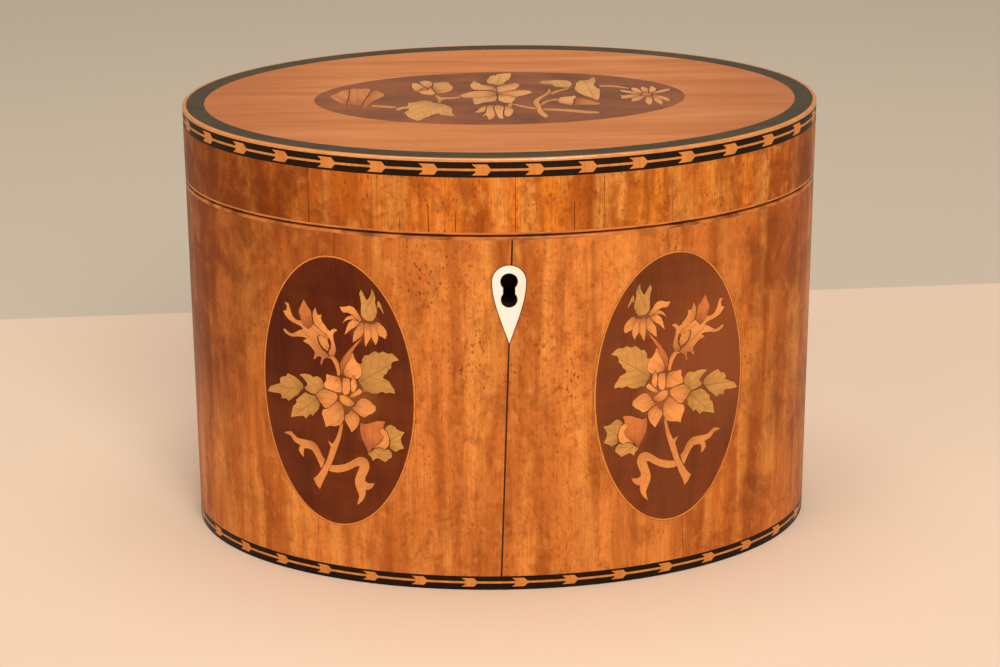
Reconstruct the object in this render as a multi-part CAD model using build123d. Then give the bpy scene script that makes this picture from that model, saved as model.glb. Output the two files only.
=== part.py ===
from build123d import *
import os
from math import atan, cos, degrees, hypot, pi, sin, sqrt

os.makedirs("parts", exist_ok=True)

# An antique oval tea caddy: a veneered body, a hinged lid, a box lock and a loose inner cover.
# Plan and heights, millimetres. The front faces -Y and the table is at z = 0.
plan_length = 152.0
plan_depth = 103.4
body_height = 87.4
lid_gap = 0.5
lid_height = 17.8

# Walls, boards and veneer
veneer_thick = 0.8
body_wall_thick = 8.0
lid_wall_thick = 8.0
base_thick = 6.0
base_rebate = 3.0
baize_thick = 0.8
baize_margin = 0.3
lid_board_thick = 6.0
facing_thick = 0.8
foil_thick = 0.4
foil_paste = 0.05
lining_thick = 0.4

# Edgings, stringings and the crossbanded border of the lid
rim_edging_width = 1.6
rim_edging_height = 0.7
lid_lower_edging_height = 0.6
edging_round = 0.3
lid_edge_width = 0.9
lid_edge_height = 0.7
lid_edge_round = 0.4
border_width = 4.3

# Feather banding, a broad strip round the lid and a narrower one round the foot
lid_banding_height = 3.6
lid_feather_length = 4.5
lid_feather_height = 2.55
foot_banding_height = 3.2
foot_feather_length = 4.0
foot_feather_height = 2.2
feather_count = 34
feather_notch = 0.9
feather_point = 1.1
banding_line = 0.55
foot_stringing_height = 0.3
foot_feather_shift = 2.4

# Veneer leaves. Each front joint leans: its place along the outline at the rim, then at the foot.
leaf_count = 10
joint_width = 0.12
front_joint_width = 0.4
front_joints = ((0.8, -2.1), (36.9, 43.0), (-40.1, -47.5))
rear_joints = 7

# The lid's joints and short cracks: the place along the outline, and a crack's top height
lid_joints = (-46.5, -29.8, 1.5, 21.7, 38.2)
lid_rear_leaves = 8
lid_joint_width = 0.1
lid_cracks = ((-46.6, 93.5), (-18.1, 94.8), (-12.0, 93.0), (14.8, 95.2), (-24.6, 91.5))
crack_width = 0.16

# Marquetry panels
panel_width = 38.8
panel_height = 67.2
panel_centre_height = 47.6
panel_stringing = 0.55
panel_shifts = {"left": -0.7, "right": -1.4}
spray_shifts = {"left": 0.7, "right": -0.75}
spray_turns = {"left": 0.0, "right": -2.2}
top_oval_length = 89.0
top_oval_depth = 47.6
kerf = 0.09

# Escutcheon and keyhole
escutcheon_width = 8.0
escutcheon_tail = 15.4
escutcheon_inlay = 1.4
escutcheon_proud = 0.1
key_below_rim = 10.5
key_round_radius = 1.85
key_foot_radius = 1.75
key_foot_drop = 4.3
key_waist_width = 2.5

# Box lock, let into the front wall from the inside
lock_plate_width = 34.0
lock_plate_height = 18.4
lock_plate_thick = 1.0
selvedge_thick = 1.2
selvedge_depth = 5.6
case_width = 25.0
case_depth = 4.7
case_height = 16.0
case_wall = 0.6
case_clearance = 0.15
key_pin_radius = 0.75
bolt_thick = 2.2
bolt_offset = 0.9
bolt_nose_height = 3.0
bolt_nose_length = 6.6
bolt_arm_height = 1.9
bolt_arm_reach = 6.0
bolt_web = 3.0
bolt_travel = 3.4
talon_width = 3.2
talon_depth = 1.2
bolt_clearance = 0.2
link_width = 6.0
link_thick = 2.0
link_clearance = 0.6
link_hook = 2.4
link_below_nose = 1.4
link_plate_width = 25.0
link_plate_depth = 4.0
link_plate_thick = 1.0
spring_thick = 0.3
spring_length = 5.0

# Butt hinge at the back
hinge_length = 38.0
hinge_knuckles = 5
knuckle_radius = 1.7
knuckle_gap = 0.15
hinge_pin_radius = 0.8
hinge_pin_clearance = 0.05
hinge_axis_out = 1.2
hinge_leaf_thick = 0.9
hinge_leaf_width = 7.6
hinge_clearance = 0.25
screw_spacing = 13.0

# Countersunk brass screws
screw_shank_radius = 0.8
screw_head_radius = 1.7
screw_length = 6.0
screw_slot_width = 0.35
screw_slot_depth = 0.3

# Loose inner cover and the ledge it rests on
cover_below_rim = 14.0
ledge_width = 3.5
ledge_height = 5.0
cover_thick = 3.2
cover_clearance = 0.6
cover_border_width = 3.0
knob_height = 9.2
knob_radius = 5.4
knob_waist_radius = 2.2
knob_foot_radius = 3.6
knob_foot_height = 0.7
knob_spigot_radius = 1.5

# Places worked out from the sizes above
half_length = plan_length / 2
half_depth = plan_depth / 2
lid_bottom = body_height + lid_gap
lid_top = lid_bottom + lid_height
wall_inset = veneer_thick + body_wall_thick
lid_wall_inset = veneer_thick + lid_wall_thick
base_bottom = baize_thick
base_top = base_bottom + base_thick
rebate_inset = wall_inset - base_rebate
lid_board_top = lid_top - veneer_thick
lid_board_bottom = lid_board_top - lid_board_thick
lid_band_top = lid_top - lid_edge_height
lid_band_bottom = lid_band_top - lid_banding_height
foot_band_top = foot_stringing_height + foot_banding_height
wall_face = -(half_depth - wall_inset)
key_height = body_height - key_below_rim
ledge_top = body_height - cover_below_rim
ledge_bottom = ledge_top - ledge_height
cover_top = ledge_top + cover_thick + veneer_thick
hinge_y = half_depth + hinge_axis_out
hinge_z = body_height + lid_gap / 2
pocket_reach = 4.0


def save(node, shape):
    """Writes one node and prints its size."""
    solids = [solid for solid in shape.solids() if solid.volume > 0.002]
    export_step(Compound(solids), f"parts/{node}.step")
    print(node, len(solids), "solids")


def block(x_span, y_span, z_span):
    """A box between two values on each axis."""
    sizes = [high - low for low, high in (x_span, y_span, z_span)]
    middles = [(low + high) / 2 for low, high in (x_span, y_span, z_span)]
    return Pos(*middles) * Box(*sizes)


def oval(inset):
    """The plan oval, taken in by an inset."""
    return Ellipse(half_length - inset, half_depth - inset)


def oval_disc(z_low, z_high, inset):
    return Pos(0, 0, z_low) * extrude(oval(inset), z_high - z_low)


def oval_ring(z_low, z_high, outer_inset, inner_inset):
    return Pos(0, 0, z_low) * extrude(oval(outer_inset) - oval(inner_inset), z_high - z_low)


# The outline's length is summed over short chords.
chord_count = 1440


def outline_point(turn):
    """A point of the plan outline. A turn of 0 is the middle of the front, and it grows towards +X."""
    return half_length * sin(turn), -half_depth * cos(turn)


def outline_turn(distance):
    """The turn that lies a distance along the outline from the middle of the front."""
    step = 2 * pi / chord_count
    turn, gone = 0.0, 0.0
    place = outline_point(0)
    while gone < abs(distance):
        turn += step
        following = outline_point(turn)
        chord = hypot(following[0] - place[0], following[1] - place[1])
        gone, place = gone + chord, following
    turn -= step * (gone - abs(distance)) / chord if gone else 0
    return turn if distance >= 0 else -turn


def outline_length():
    step = 2 * pi / chord_count
    points = [outline_point(step * count) for count in range(chord_count + 1)]
    return sum(hypot(b[0] - a[0], b[1] - a[1]) for a, b in zip(points, points[1:]))


def surface_plane(distance, height):
    """A plane that touches the side at a distance along the outline, facing out, its own Y axis up."""
    turn = outline_turn(distance)
    x, y = outline_point(turn)
    normal = (sin(turn) / half_length, -cos(turn) / half_depth, 0)
    return Plane(origin=(x, y, height), x_dir=(-normal[1], normal[0], 0), z_dir=normal)


def side_prism(sketch, distance, height, outward=1.0, inward=5.0):
    """A flat drawing pushed into the side as a cutter."""
    plane = surface_plane(distance, height)
    drawing = plane.offset(outward) * sketch
    return extrude(drawing, -(outward + inward))


leaf_width = outline_length() / leaf_count
panel_places = {"left": panel_shifts["left"] - leaf_width, "right": panel_shifts["right"] + leaf_width}


def outline(points, grow=0.0):
    """A sawn piece with its corners at the points, or the wider hole that it grows into."""
    before, after = (points[-1], *points[:-1]), (*points[1:], points[0])
    area = sum(a[0] * b[1] - b[0] * a[1] for a, b in zip(points, after))
    hand = 1 if area > 0 else -1
    corners = []
    for last, here, following in zip(before, points, after):
        normals = []
        for start, end in ((last, here), (here, following)):
            run = hypot(end[0] - start[0], end[1] - start[1])
            normals.append((hand * (end[1] - start[1]) / run, -hand * (end[0] - start[0]) / run))
        (ax, ay), (bx, by) = normals
        reach = grow / max(1 + ax * bx + ay * by, 0.5)
        corners.append((here[0] + reach * (ax + bx), here[1] + reach * (ay + by)))
    return make_face(Polyline(*corners, close=True))


# The flower spray of the left front panel, from the panel's centre. The right one mirrors it.
# Each entry is wood and outline. An earlier piece is cut out of a later one.
panel_spray = (
    # daisy
    ("leaf", (
        (6.35, 26.1), (6.8, 25.3), (7.3, 24.3), (7.6, 23.6), (8.2, 24.2), (8.7, 25.2), (8.9, 26.6),
        (9.5, 25.4), (9.8, 24.2), (9.6, 23.3), (9.9, 22.4), (10.1, 21), (9.7, 19.7), (9, 18.8),
        (8, 18.65), (7, 19), (6.3, 19.8), (6.2, 21), (6.3, 22.6), (6.2, 23.9), (5.9, 25.2))),
    ("leaf", (
        (10.1, 23.3), (10.5, 23.9), (10.9, 23), (11.3, 22), (11.65, 20.6), (11, 21.6), (10.5, 22.3),
        (10.15, 22))),
    ("flower", (
        (6.2, 19.2), (5.5, 20.2), (5, 21), (4.3, 21.7), (3.4, 21.9), (2.2, 21.5), (1.05, 21.4),
        (1.4, 20.6), (1.9, 20.1), (3.1, 20.2), (4.2, 19.7), (5.2, 18.9), (5.9, 18.2), (6.4, 18.6))),
    ("flower", (
        (4, 19.65), (2.9, 19.2), (2.3, 18.6), (1.55, 17.3), (2.1, 17.9), (3, 18.5), (4.2, 18.7),
        (5.1, 18.5), (5.2, 18.9))),
    ("flower", (
        (4.2, 18.6), (3.2, 17.8), (2.6, 16.4), (2.1, 14.7), (2.9, 15.4), (3.6, 16.1), (4.6, 16.8),
        (5.5, 17.4), (5.9, 18.1), (5.1, 18.5))),
    ("flower", (
        (5.6, 17.3), (5.1, 16.6), (4.5, 15.8), (4.2, 14.6), (4.05, 13), (4.9, 13.6), (5.7, 14.3),
        (6.4, 14.9), (6.8, 15.8), (6.9, 17.2), (6.7, 18.2), (6.1, 18.1))),
    ("flower", (
        (6.9, 15.6), (6.9, 14.6), (7, 13.5), (7.15, 12.3), (7.7, 13.3), (8.2, 14.2), (8.6, 14.7),
        (8.5, 16.5), (8.2, 17.9), (7, 18.1), (7, 17))),
    ("flower", (
        (8.7, 14.6), (9, 14), (9.6, 12.9), (10.1, 14.1), (10.2, 15), (10, 16.6), (9.4, 18),
        (8.3, 17.9), (8.6, 16.4))),
    ("flower", (
        (10.3, 15.4), (11, 15.1), (11.9, 14.6), (12.3, 15.6), (12.1, 16.6), (11.5, 17.6), (10.5, 18.4),
        (9.8, 18.6), (9.4, 18.1), (10, 16.7))),
    # tulip
    ("shaded", (
        (-8.15, 22), (-7.3, 20.6), (-6.35, 19.4), (-6.1, 17.8), (-5.9, 16.2), (-7.2, 14.9),
        (-8.4, 15.6), (-9, 16.7), (-9.6, 18.9), (-9, 20.3))),
    ("flower", (
        (-4.6, 13.6), (-3.4, 13.6), (-2.3, 12.8), (-1.85, 11.4), (-2.2, 10), (-3.2, 10.6),
        (-4.1, 11.5), (-4.5, 12.5))),
    ("flower", (
        (-5.1, 20.5), (-4.9, 19.4), (-4.55, 18.7), (-3.6, 18.9), (-3.8, 18.1), (-3.5, 17.2),
        (-2.7, 16.2), (-2, 15.3), (-1.5, 15.1), (-1.1, 15.6), (-0.5, 15.85), (0.15, 15.8), (0.1, 15.3),
        (-0.5, 15), (-0.85, 14.2), (-0.7, 12.9), (-0.3, 11.6), (-0.15, 10.6), (-0.5, 9.6), (-0.8, 9.1),
        (-1.9, 9), (-2.1, 9.8), (-1.5, 11), (-1.35, 12.2), (-1.7, 13.3), (-2.6, 14.4), (-4.2, 15.3),
        (-5.6, 16.4), (-5.9, 18.2), (-5.8, 19.3))),
    ("flower", (
        (-9, 16.6), (-10.3, 16.6), (-11.2, 17.3), (-11.7, 18.4), (-12, 19.6), (-12.3, 20.4),
        (-13.3, 20.5), (-12.7, 19.6), (-12.9, 18.6), (-13.8, 18.2), (-13.3, 17.4), (-12.6, 16.6),
        (-11.3, 15.9), (-10.2, 15.6), (-9, 15.2), (-8.5, 14.6), (-9.6, 14.2), (-10.5, 13.6),
        (-11.6, 13), (-12.6, 13.3), (-13.5, 13.9), (-14, 13.7), (-13.4, 12.9), (-12.4, 12.4),
        (-11.3, 12.3), (-10, 12.6), (-8.6, 12.7), (-7.6, 12.5), (-8.7, 11.7), (-8, 11.4), (-7.2, 11.1),
        (-6.2, 10.2), (-5.6, 9.4), (-5.8, 8.6), (-6.05, 7.5), (-5.4, 7.9), (-5, 8.4), (-4.2, 8.55),
        (-3.95, 8.2), (-4.3, 7.1), (-4.1, 6.2), (-3.8, 6.7), (-3.6, 7.4), (-3.2, 8.1), (-2.6, 8.4),
        (-1.9, 8.9), (-2.7, 9.7), (-3.7, 10.4), (-4.6, 11.6), (-4.95, 13.2), (-4.6, 13.8), (-3, 13.6),
        (-2.2, 12.8), (-1.9, 13.4), (-2.7, 14.3), (-4.3, 15.2), (-5.8, 16.2))),
    ("stem", (
        (-1.9, 8.8), (-0.8, 9.1), (-0.1, 8.4), (0.45, 7.4), (0.6, 6), (0.7, 4.5), (0, 4.5),
        (-0.2, 5.9), (-0.6, 7), (-1.1, 7.9), (-1.5, 8.4), (-2.4, 8.45))),
    # rose
    ("flower", (
        (0.4, -0.6), (1.4, -0.3), (2.4, -0.6), (3.2, -1.2), (4.2, -1.9), (3.8, -2.7), (2.6, -3),
        (1.2, -2.6), (0.5, -1.8))),
    ("flower", (
        (-2.8, 4.3), (-0.3, 4.1), (0.5, 4), (0.9, 3), (1, 1.4), (0.9, 0.3), (-0.5, 0.2), (-2, 0.6),
        (-3.3, 0.9), (-3.5, 1.8), (-2.9, 2.8))),
    ("flower", (
        (1.3, 4), (2.8, 4.1), (3.2, 3), (3.1, 1.4), (2.6, 0.2), (1.8, -0.3), (1.2, 0.4), (1.2, 2))),
    ("flower", (
        (4, 5), (4.6, 3.8), (4.75, 2.4), (4.6, 1.5), (3.8, 0.5), (3.35, 1.2), (3.35, 3), (3.6, 4.2))),
    ("flower", (
        (5.3, 1.8), (6.1, 1.2), (5.8, 0.6), (4.9, 0), (4, -0.5), (3.2, -0.9), (2.9, -0.2), (3.8, 0.4),
        (4.8, 1.3))),
    ("flower", (
        (-3.4, 0.6), (-2, 0.3), (-0.6, 0), (-0.1, -0.8), (-0.4, -1.8), (-1.4, -2.8), (-2.6, -4),
        (-3.4, -4.2), (-4, -3.6), (-4.6, -3), (-5.2, -2.1), (-5.9, -1.2), (-4.8, -0.2))),
    ("flower", (
        (-0.3, -1.9), (0.6, -2.5), (1.2, -3.3), (1.45, -4.8), (1.3, -6.4), (0.6, -7.8), (-0.8, -8.4),
        (-2.4, -8.5), (-3.4, -9), (-3.5, -8.1), (-3.9, -6.8), (-4.3, -5.6), (-3.9, -4.6), (-2.6, -4.2),
        (-1.3, -2.9))),
    ("flower", (
        (4.5, -2.1), (5, -1.3), (5.7, -0.7), (6.6, -0.5), (7.6, -0.9), (8.4, -1.6), (9.2, -2.3),
        (9.25, -3.3), (8.4, -4.1), (7.4, -4.6), (6.6, -5.3), (5.6, -5), (5, -4.6), (4, -3.9),
        (3.4, -3.2), (4, -2.8))),
    ("flower", (
        (3.1, -3.7), (3.9, -4.2), (4.8, -4.9), (5.25, -5.6), (5.1, -6.8), (4.6, -7.9), (4, -8.6),
        (3.2, -9.4), (2.7, -8.4), (2.1, -7.4), (1.55, -6.4), (1.65, -5.2), (2.4, -4.9))),
    # folded leaf and broad leaf
    ("shaded", (
        (6.3, 14.4), (5.5, 13), (4.7, 12), (4.1, 11), (3.7, 10.6), (3.5, 9.6), (2.9, 8.4), (2.2, 7.2),
        (1.6, 6), (1.3, 4.8), (1, 4.4), (0.75, 5.6), (0.75, 7.2), (1.1, 8.2), (1.6, 9.2), (2.3, 10.1),
        (3.1, 11.1), (4, 12.1), (4.9, 13.1))),
    ("flower", (
        (3.95, 10.6), (4.3, 9.3), (4.9, 8.2), (5.5, 7.9), (6, 6.4), (5.9, 5), (5, 4.2), (3.4, 4.2),
        (2.2, 4.4), (1.5, 4.9), (1.7, 6), (2.3, 7.2), (3, 8.4), (3.5, 9.6))),
    ("leaf", (
        (5.6, 7.8), (6.2, 8.2), (6.3, 9.3), (6.9, 10.2), (7.9, 10.3), (8.6, 11), (9.3, 11.4),
        (10.2, 11), (11.3, 11.5), (12.3, 11), (13.2, 11.2), (13.9, 10.8), (15, 9.6), (13.6, 9.2),
        (13.2, 8.6), (13.1, 7.6), (12.3, 6.9), (12.1, 6.2), (11.4, 5.7), (11.1, 5), (11.8, 4.6),
        (12.6, 4.2), (13.1, 3.2), (13.7, 2.4), (13.9, 1.3), (12.6, 1.5), (11.9, 1.2), (10.9, 1.6),
        (9.6, 0.9), (8.2, 0.9), (7.4, 1.3), (6.5, 1.1), (6, 2.4), (5.3, 3.4), (5.2, 4.2), (6, 5),
        (6.1, 6.4))),
    # three leaves on the left
    ("leaf", (
        (-19.1, -2.8), (-18.2, -1.4), (-16.6, -0.6), (-15.3, 0), (-15.4, 1), (-14.9, 1.7), (-13.7, 2),
        (-13.1, 2.9), (-12, 2.6), (-11, 2.3), (-9.9, 1.6), (-9.1, 0.9), (-9, -0.1), (-9.8, -1),
        (-10.6, -2.1), (-11.5, -2.7), (-12.3, -3.5), (-13.2, -4.1), (-13.8, -3.5), (-15.2, -3.9),
        (-15, -3.1), (-15.4, -2.6), (-17, -2.8))),
    ("leaf", (
        (-9.9, 3.2), (-8.4, 3.6), (-7, 3.5), (-6.3, 3.1), (-5.3, 3.5), (-4.4, 3.2), (-3.8, 2.3),
        (-3.6, 1.1), (-3.7, 0.6), (-5, -0.3), (-5.9, -1.2), (-7, -1), (-8.2, -0.5), (-8.7, 0.2),
        (-7.9, 0.8), (-7.9, 1.4), (-8.5, 2), (-9.2, 2.7))),
    ("leaf", (
        (-9.3, -1.7), (-8.5, -1.1), (-7.4, -1.4), (-6.1, -1.5), (-5.3, -2.4), (-4.8, -3.3), (-5, -4.6),
        (-5.8, -5.6), (-6.7, -6.7), (-7.3, -6.2), (-7.9, -7), (-8.6, -7.7), (-9.1, -7.1),
        (-10.6, -7.4), (-12.7, -8.1), (-12.3, -6.4), (-12, -5.2), (-11, -4.2), (-11.1, -3.4),
        (-10.2, -2.6))),
    # half-open bud with its leaves
    ("shaded", (
        (5.5, -6.7), (6.5, -7), (8, -6.5), (9.4, -5.9), (10.5, -5.75), (11.5, -5.9), (11, -6.9),
        (10.9, -7.6), (9.8, -7.9), (10.2, -8.8), (10.9, -9.6), (10.6, -10.8), (9.6, -11.6),
        (8.9, -12.2), (8.2, -12.9), (7.4, -14), (6.9, -13.3), (6.2, -11.8), (5.5, -10), (5.25, -8.4))),
    ("flower", (
        (9.8, -7.9), (10.9, -7.65), (11.8, -8.4), (12.2, -9.6), (12.35, -10.8), (12, -12),
        (11.2, -12.8), (10, -12.4), (8.9, -12.7), (8.2, -12.9), (8.9, -12.2), (9.6, -11.6),
        (10.6, -10.8), (10.9, -9.6), (10.2, -8.8))),
    ("leaf", (
        (11.3, -7.5), (12, -6.8), (12.7, -6.45), (13.5, -6.8), (14.2, -7.6), (15, -7.9), (16, -8.1),
        (15.4, -9), (15, -9.9), (15.2, -11), (15.8, -12.2), (14.7, -12.6), (13.8, -13.2), (13, -12.8),
        (12.3, -12.3), (12.6, -10.8), (12.4, -9.6), (12, -8.4))),
    ("leaf", (
        (7, -13.6), (7.3, -14.6), (8, -15.2), (8.2, -16), (9, -15.3), (9.6, -15.2), (10.4, -15.6),
        (11.3, -16), (12, -15.3), (12.9, -14.6), (12.8, -13.5), (12, -12.6), (11.2, -13), (10, -12.6),
        (8.8, -12.9), (7.6, -13.9))),
    # stalk and branches
    ("stem", (
        (0.3, -8), (-0.1, -9.4), (-0.5, -10.6), (-0.95, -11.6), (-1.7, -13), (-2.9, -12.3),
        (-2.2, -13.8), (-2.6, -15), (-3.1, -16.6), (-3.6, -17.9), (-4.4, -19.2), (-5.3, -20.7),
        (-6, -21.7), (-7, -22.6), (-6.4, -24), (-5.4, -25.1), (-4.9, -23.8), (-4.2, -22.4),
        (-3.5, -21), (-2.9, -19.6), (-2.2, -18.2), (-1.7, -17), (-1, -15.2), (-0.4, -13.5),
        (0.2, -11.8), (0.6, -10.2), (0.95, -8.6), (1.1, -7.4))),
    ("stem", (
        (-14.8, -12.4), (-13.8, -11.9), (-12.8, -11.7), (-12.1, -12.2), (-11.3, -12.9), (-10.3, -13.1),
        (-8.6, -13.1), (-7.2, -13.1), (-6.3, -13.5), (-5.5, -14.3), (-5, -15.4), (-4.5, -16.5),
        (-3.8, -17.3), (-4.4, -18.9), (-5, -19.7), (-5.4, -18.5), (-6, -17.2), (-6.7, -16),
        (-7.3, -15.3), (-8.2, -15.2), (-9.2, -15.3), (-9.5, -16.2), (-9.5, -17.6), (-10.2, -17),
        (-10.8, -16.1), (-10.6, -15.2), (-10.2, -14.8), (-11, -14.5), (-11.8, -14.2), (-12.4, -13.5),
        (-12.9, -12.8), (-13.8, -12.6))),
    ("stem", (
        (-2.3, -18.4), (-1.6, -18.4), (-0.2, -18.1), (1.2, -17.7), (2.6, -16.9), (3.8, -16),
        (4.8, -15.4), (5.8, -15.3), (6.8, -15.7), (7.3, -16.7), (7.4, -17.9), (6.9, -19.2),
        (6.3, -20.4), (6.2, -21.4), (7, -21.8), (8.6, -21.7), (8, -22.8), (7, -23.6), (6.3, -23.6),
        (6.3, -24.6), (5.9, -25.8), (5.1, -26.9), (4.1, -27.7), (4.4, -26.6), (4.7, -25.4),
        (4.3, -24.2), (3.8, -22.8), (3.7, -21.4), (4.1, -20), (4.6, -18.8), (5, -17.7), (4.2, -17.8),
        (3.4, -18.4), (2.2, -19.1), (0.8, -19.7), (-0.6, -20.1), (-2.2, -20.15), (-2.9, -19.9))),
)

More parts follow.
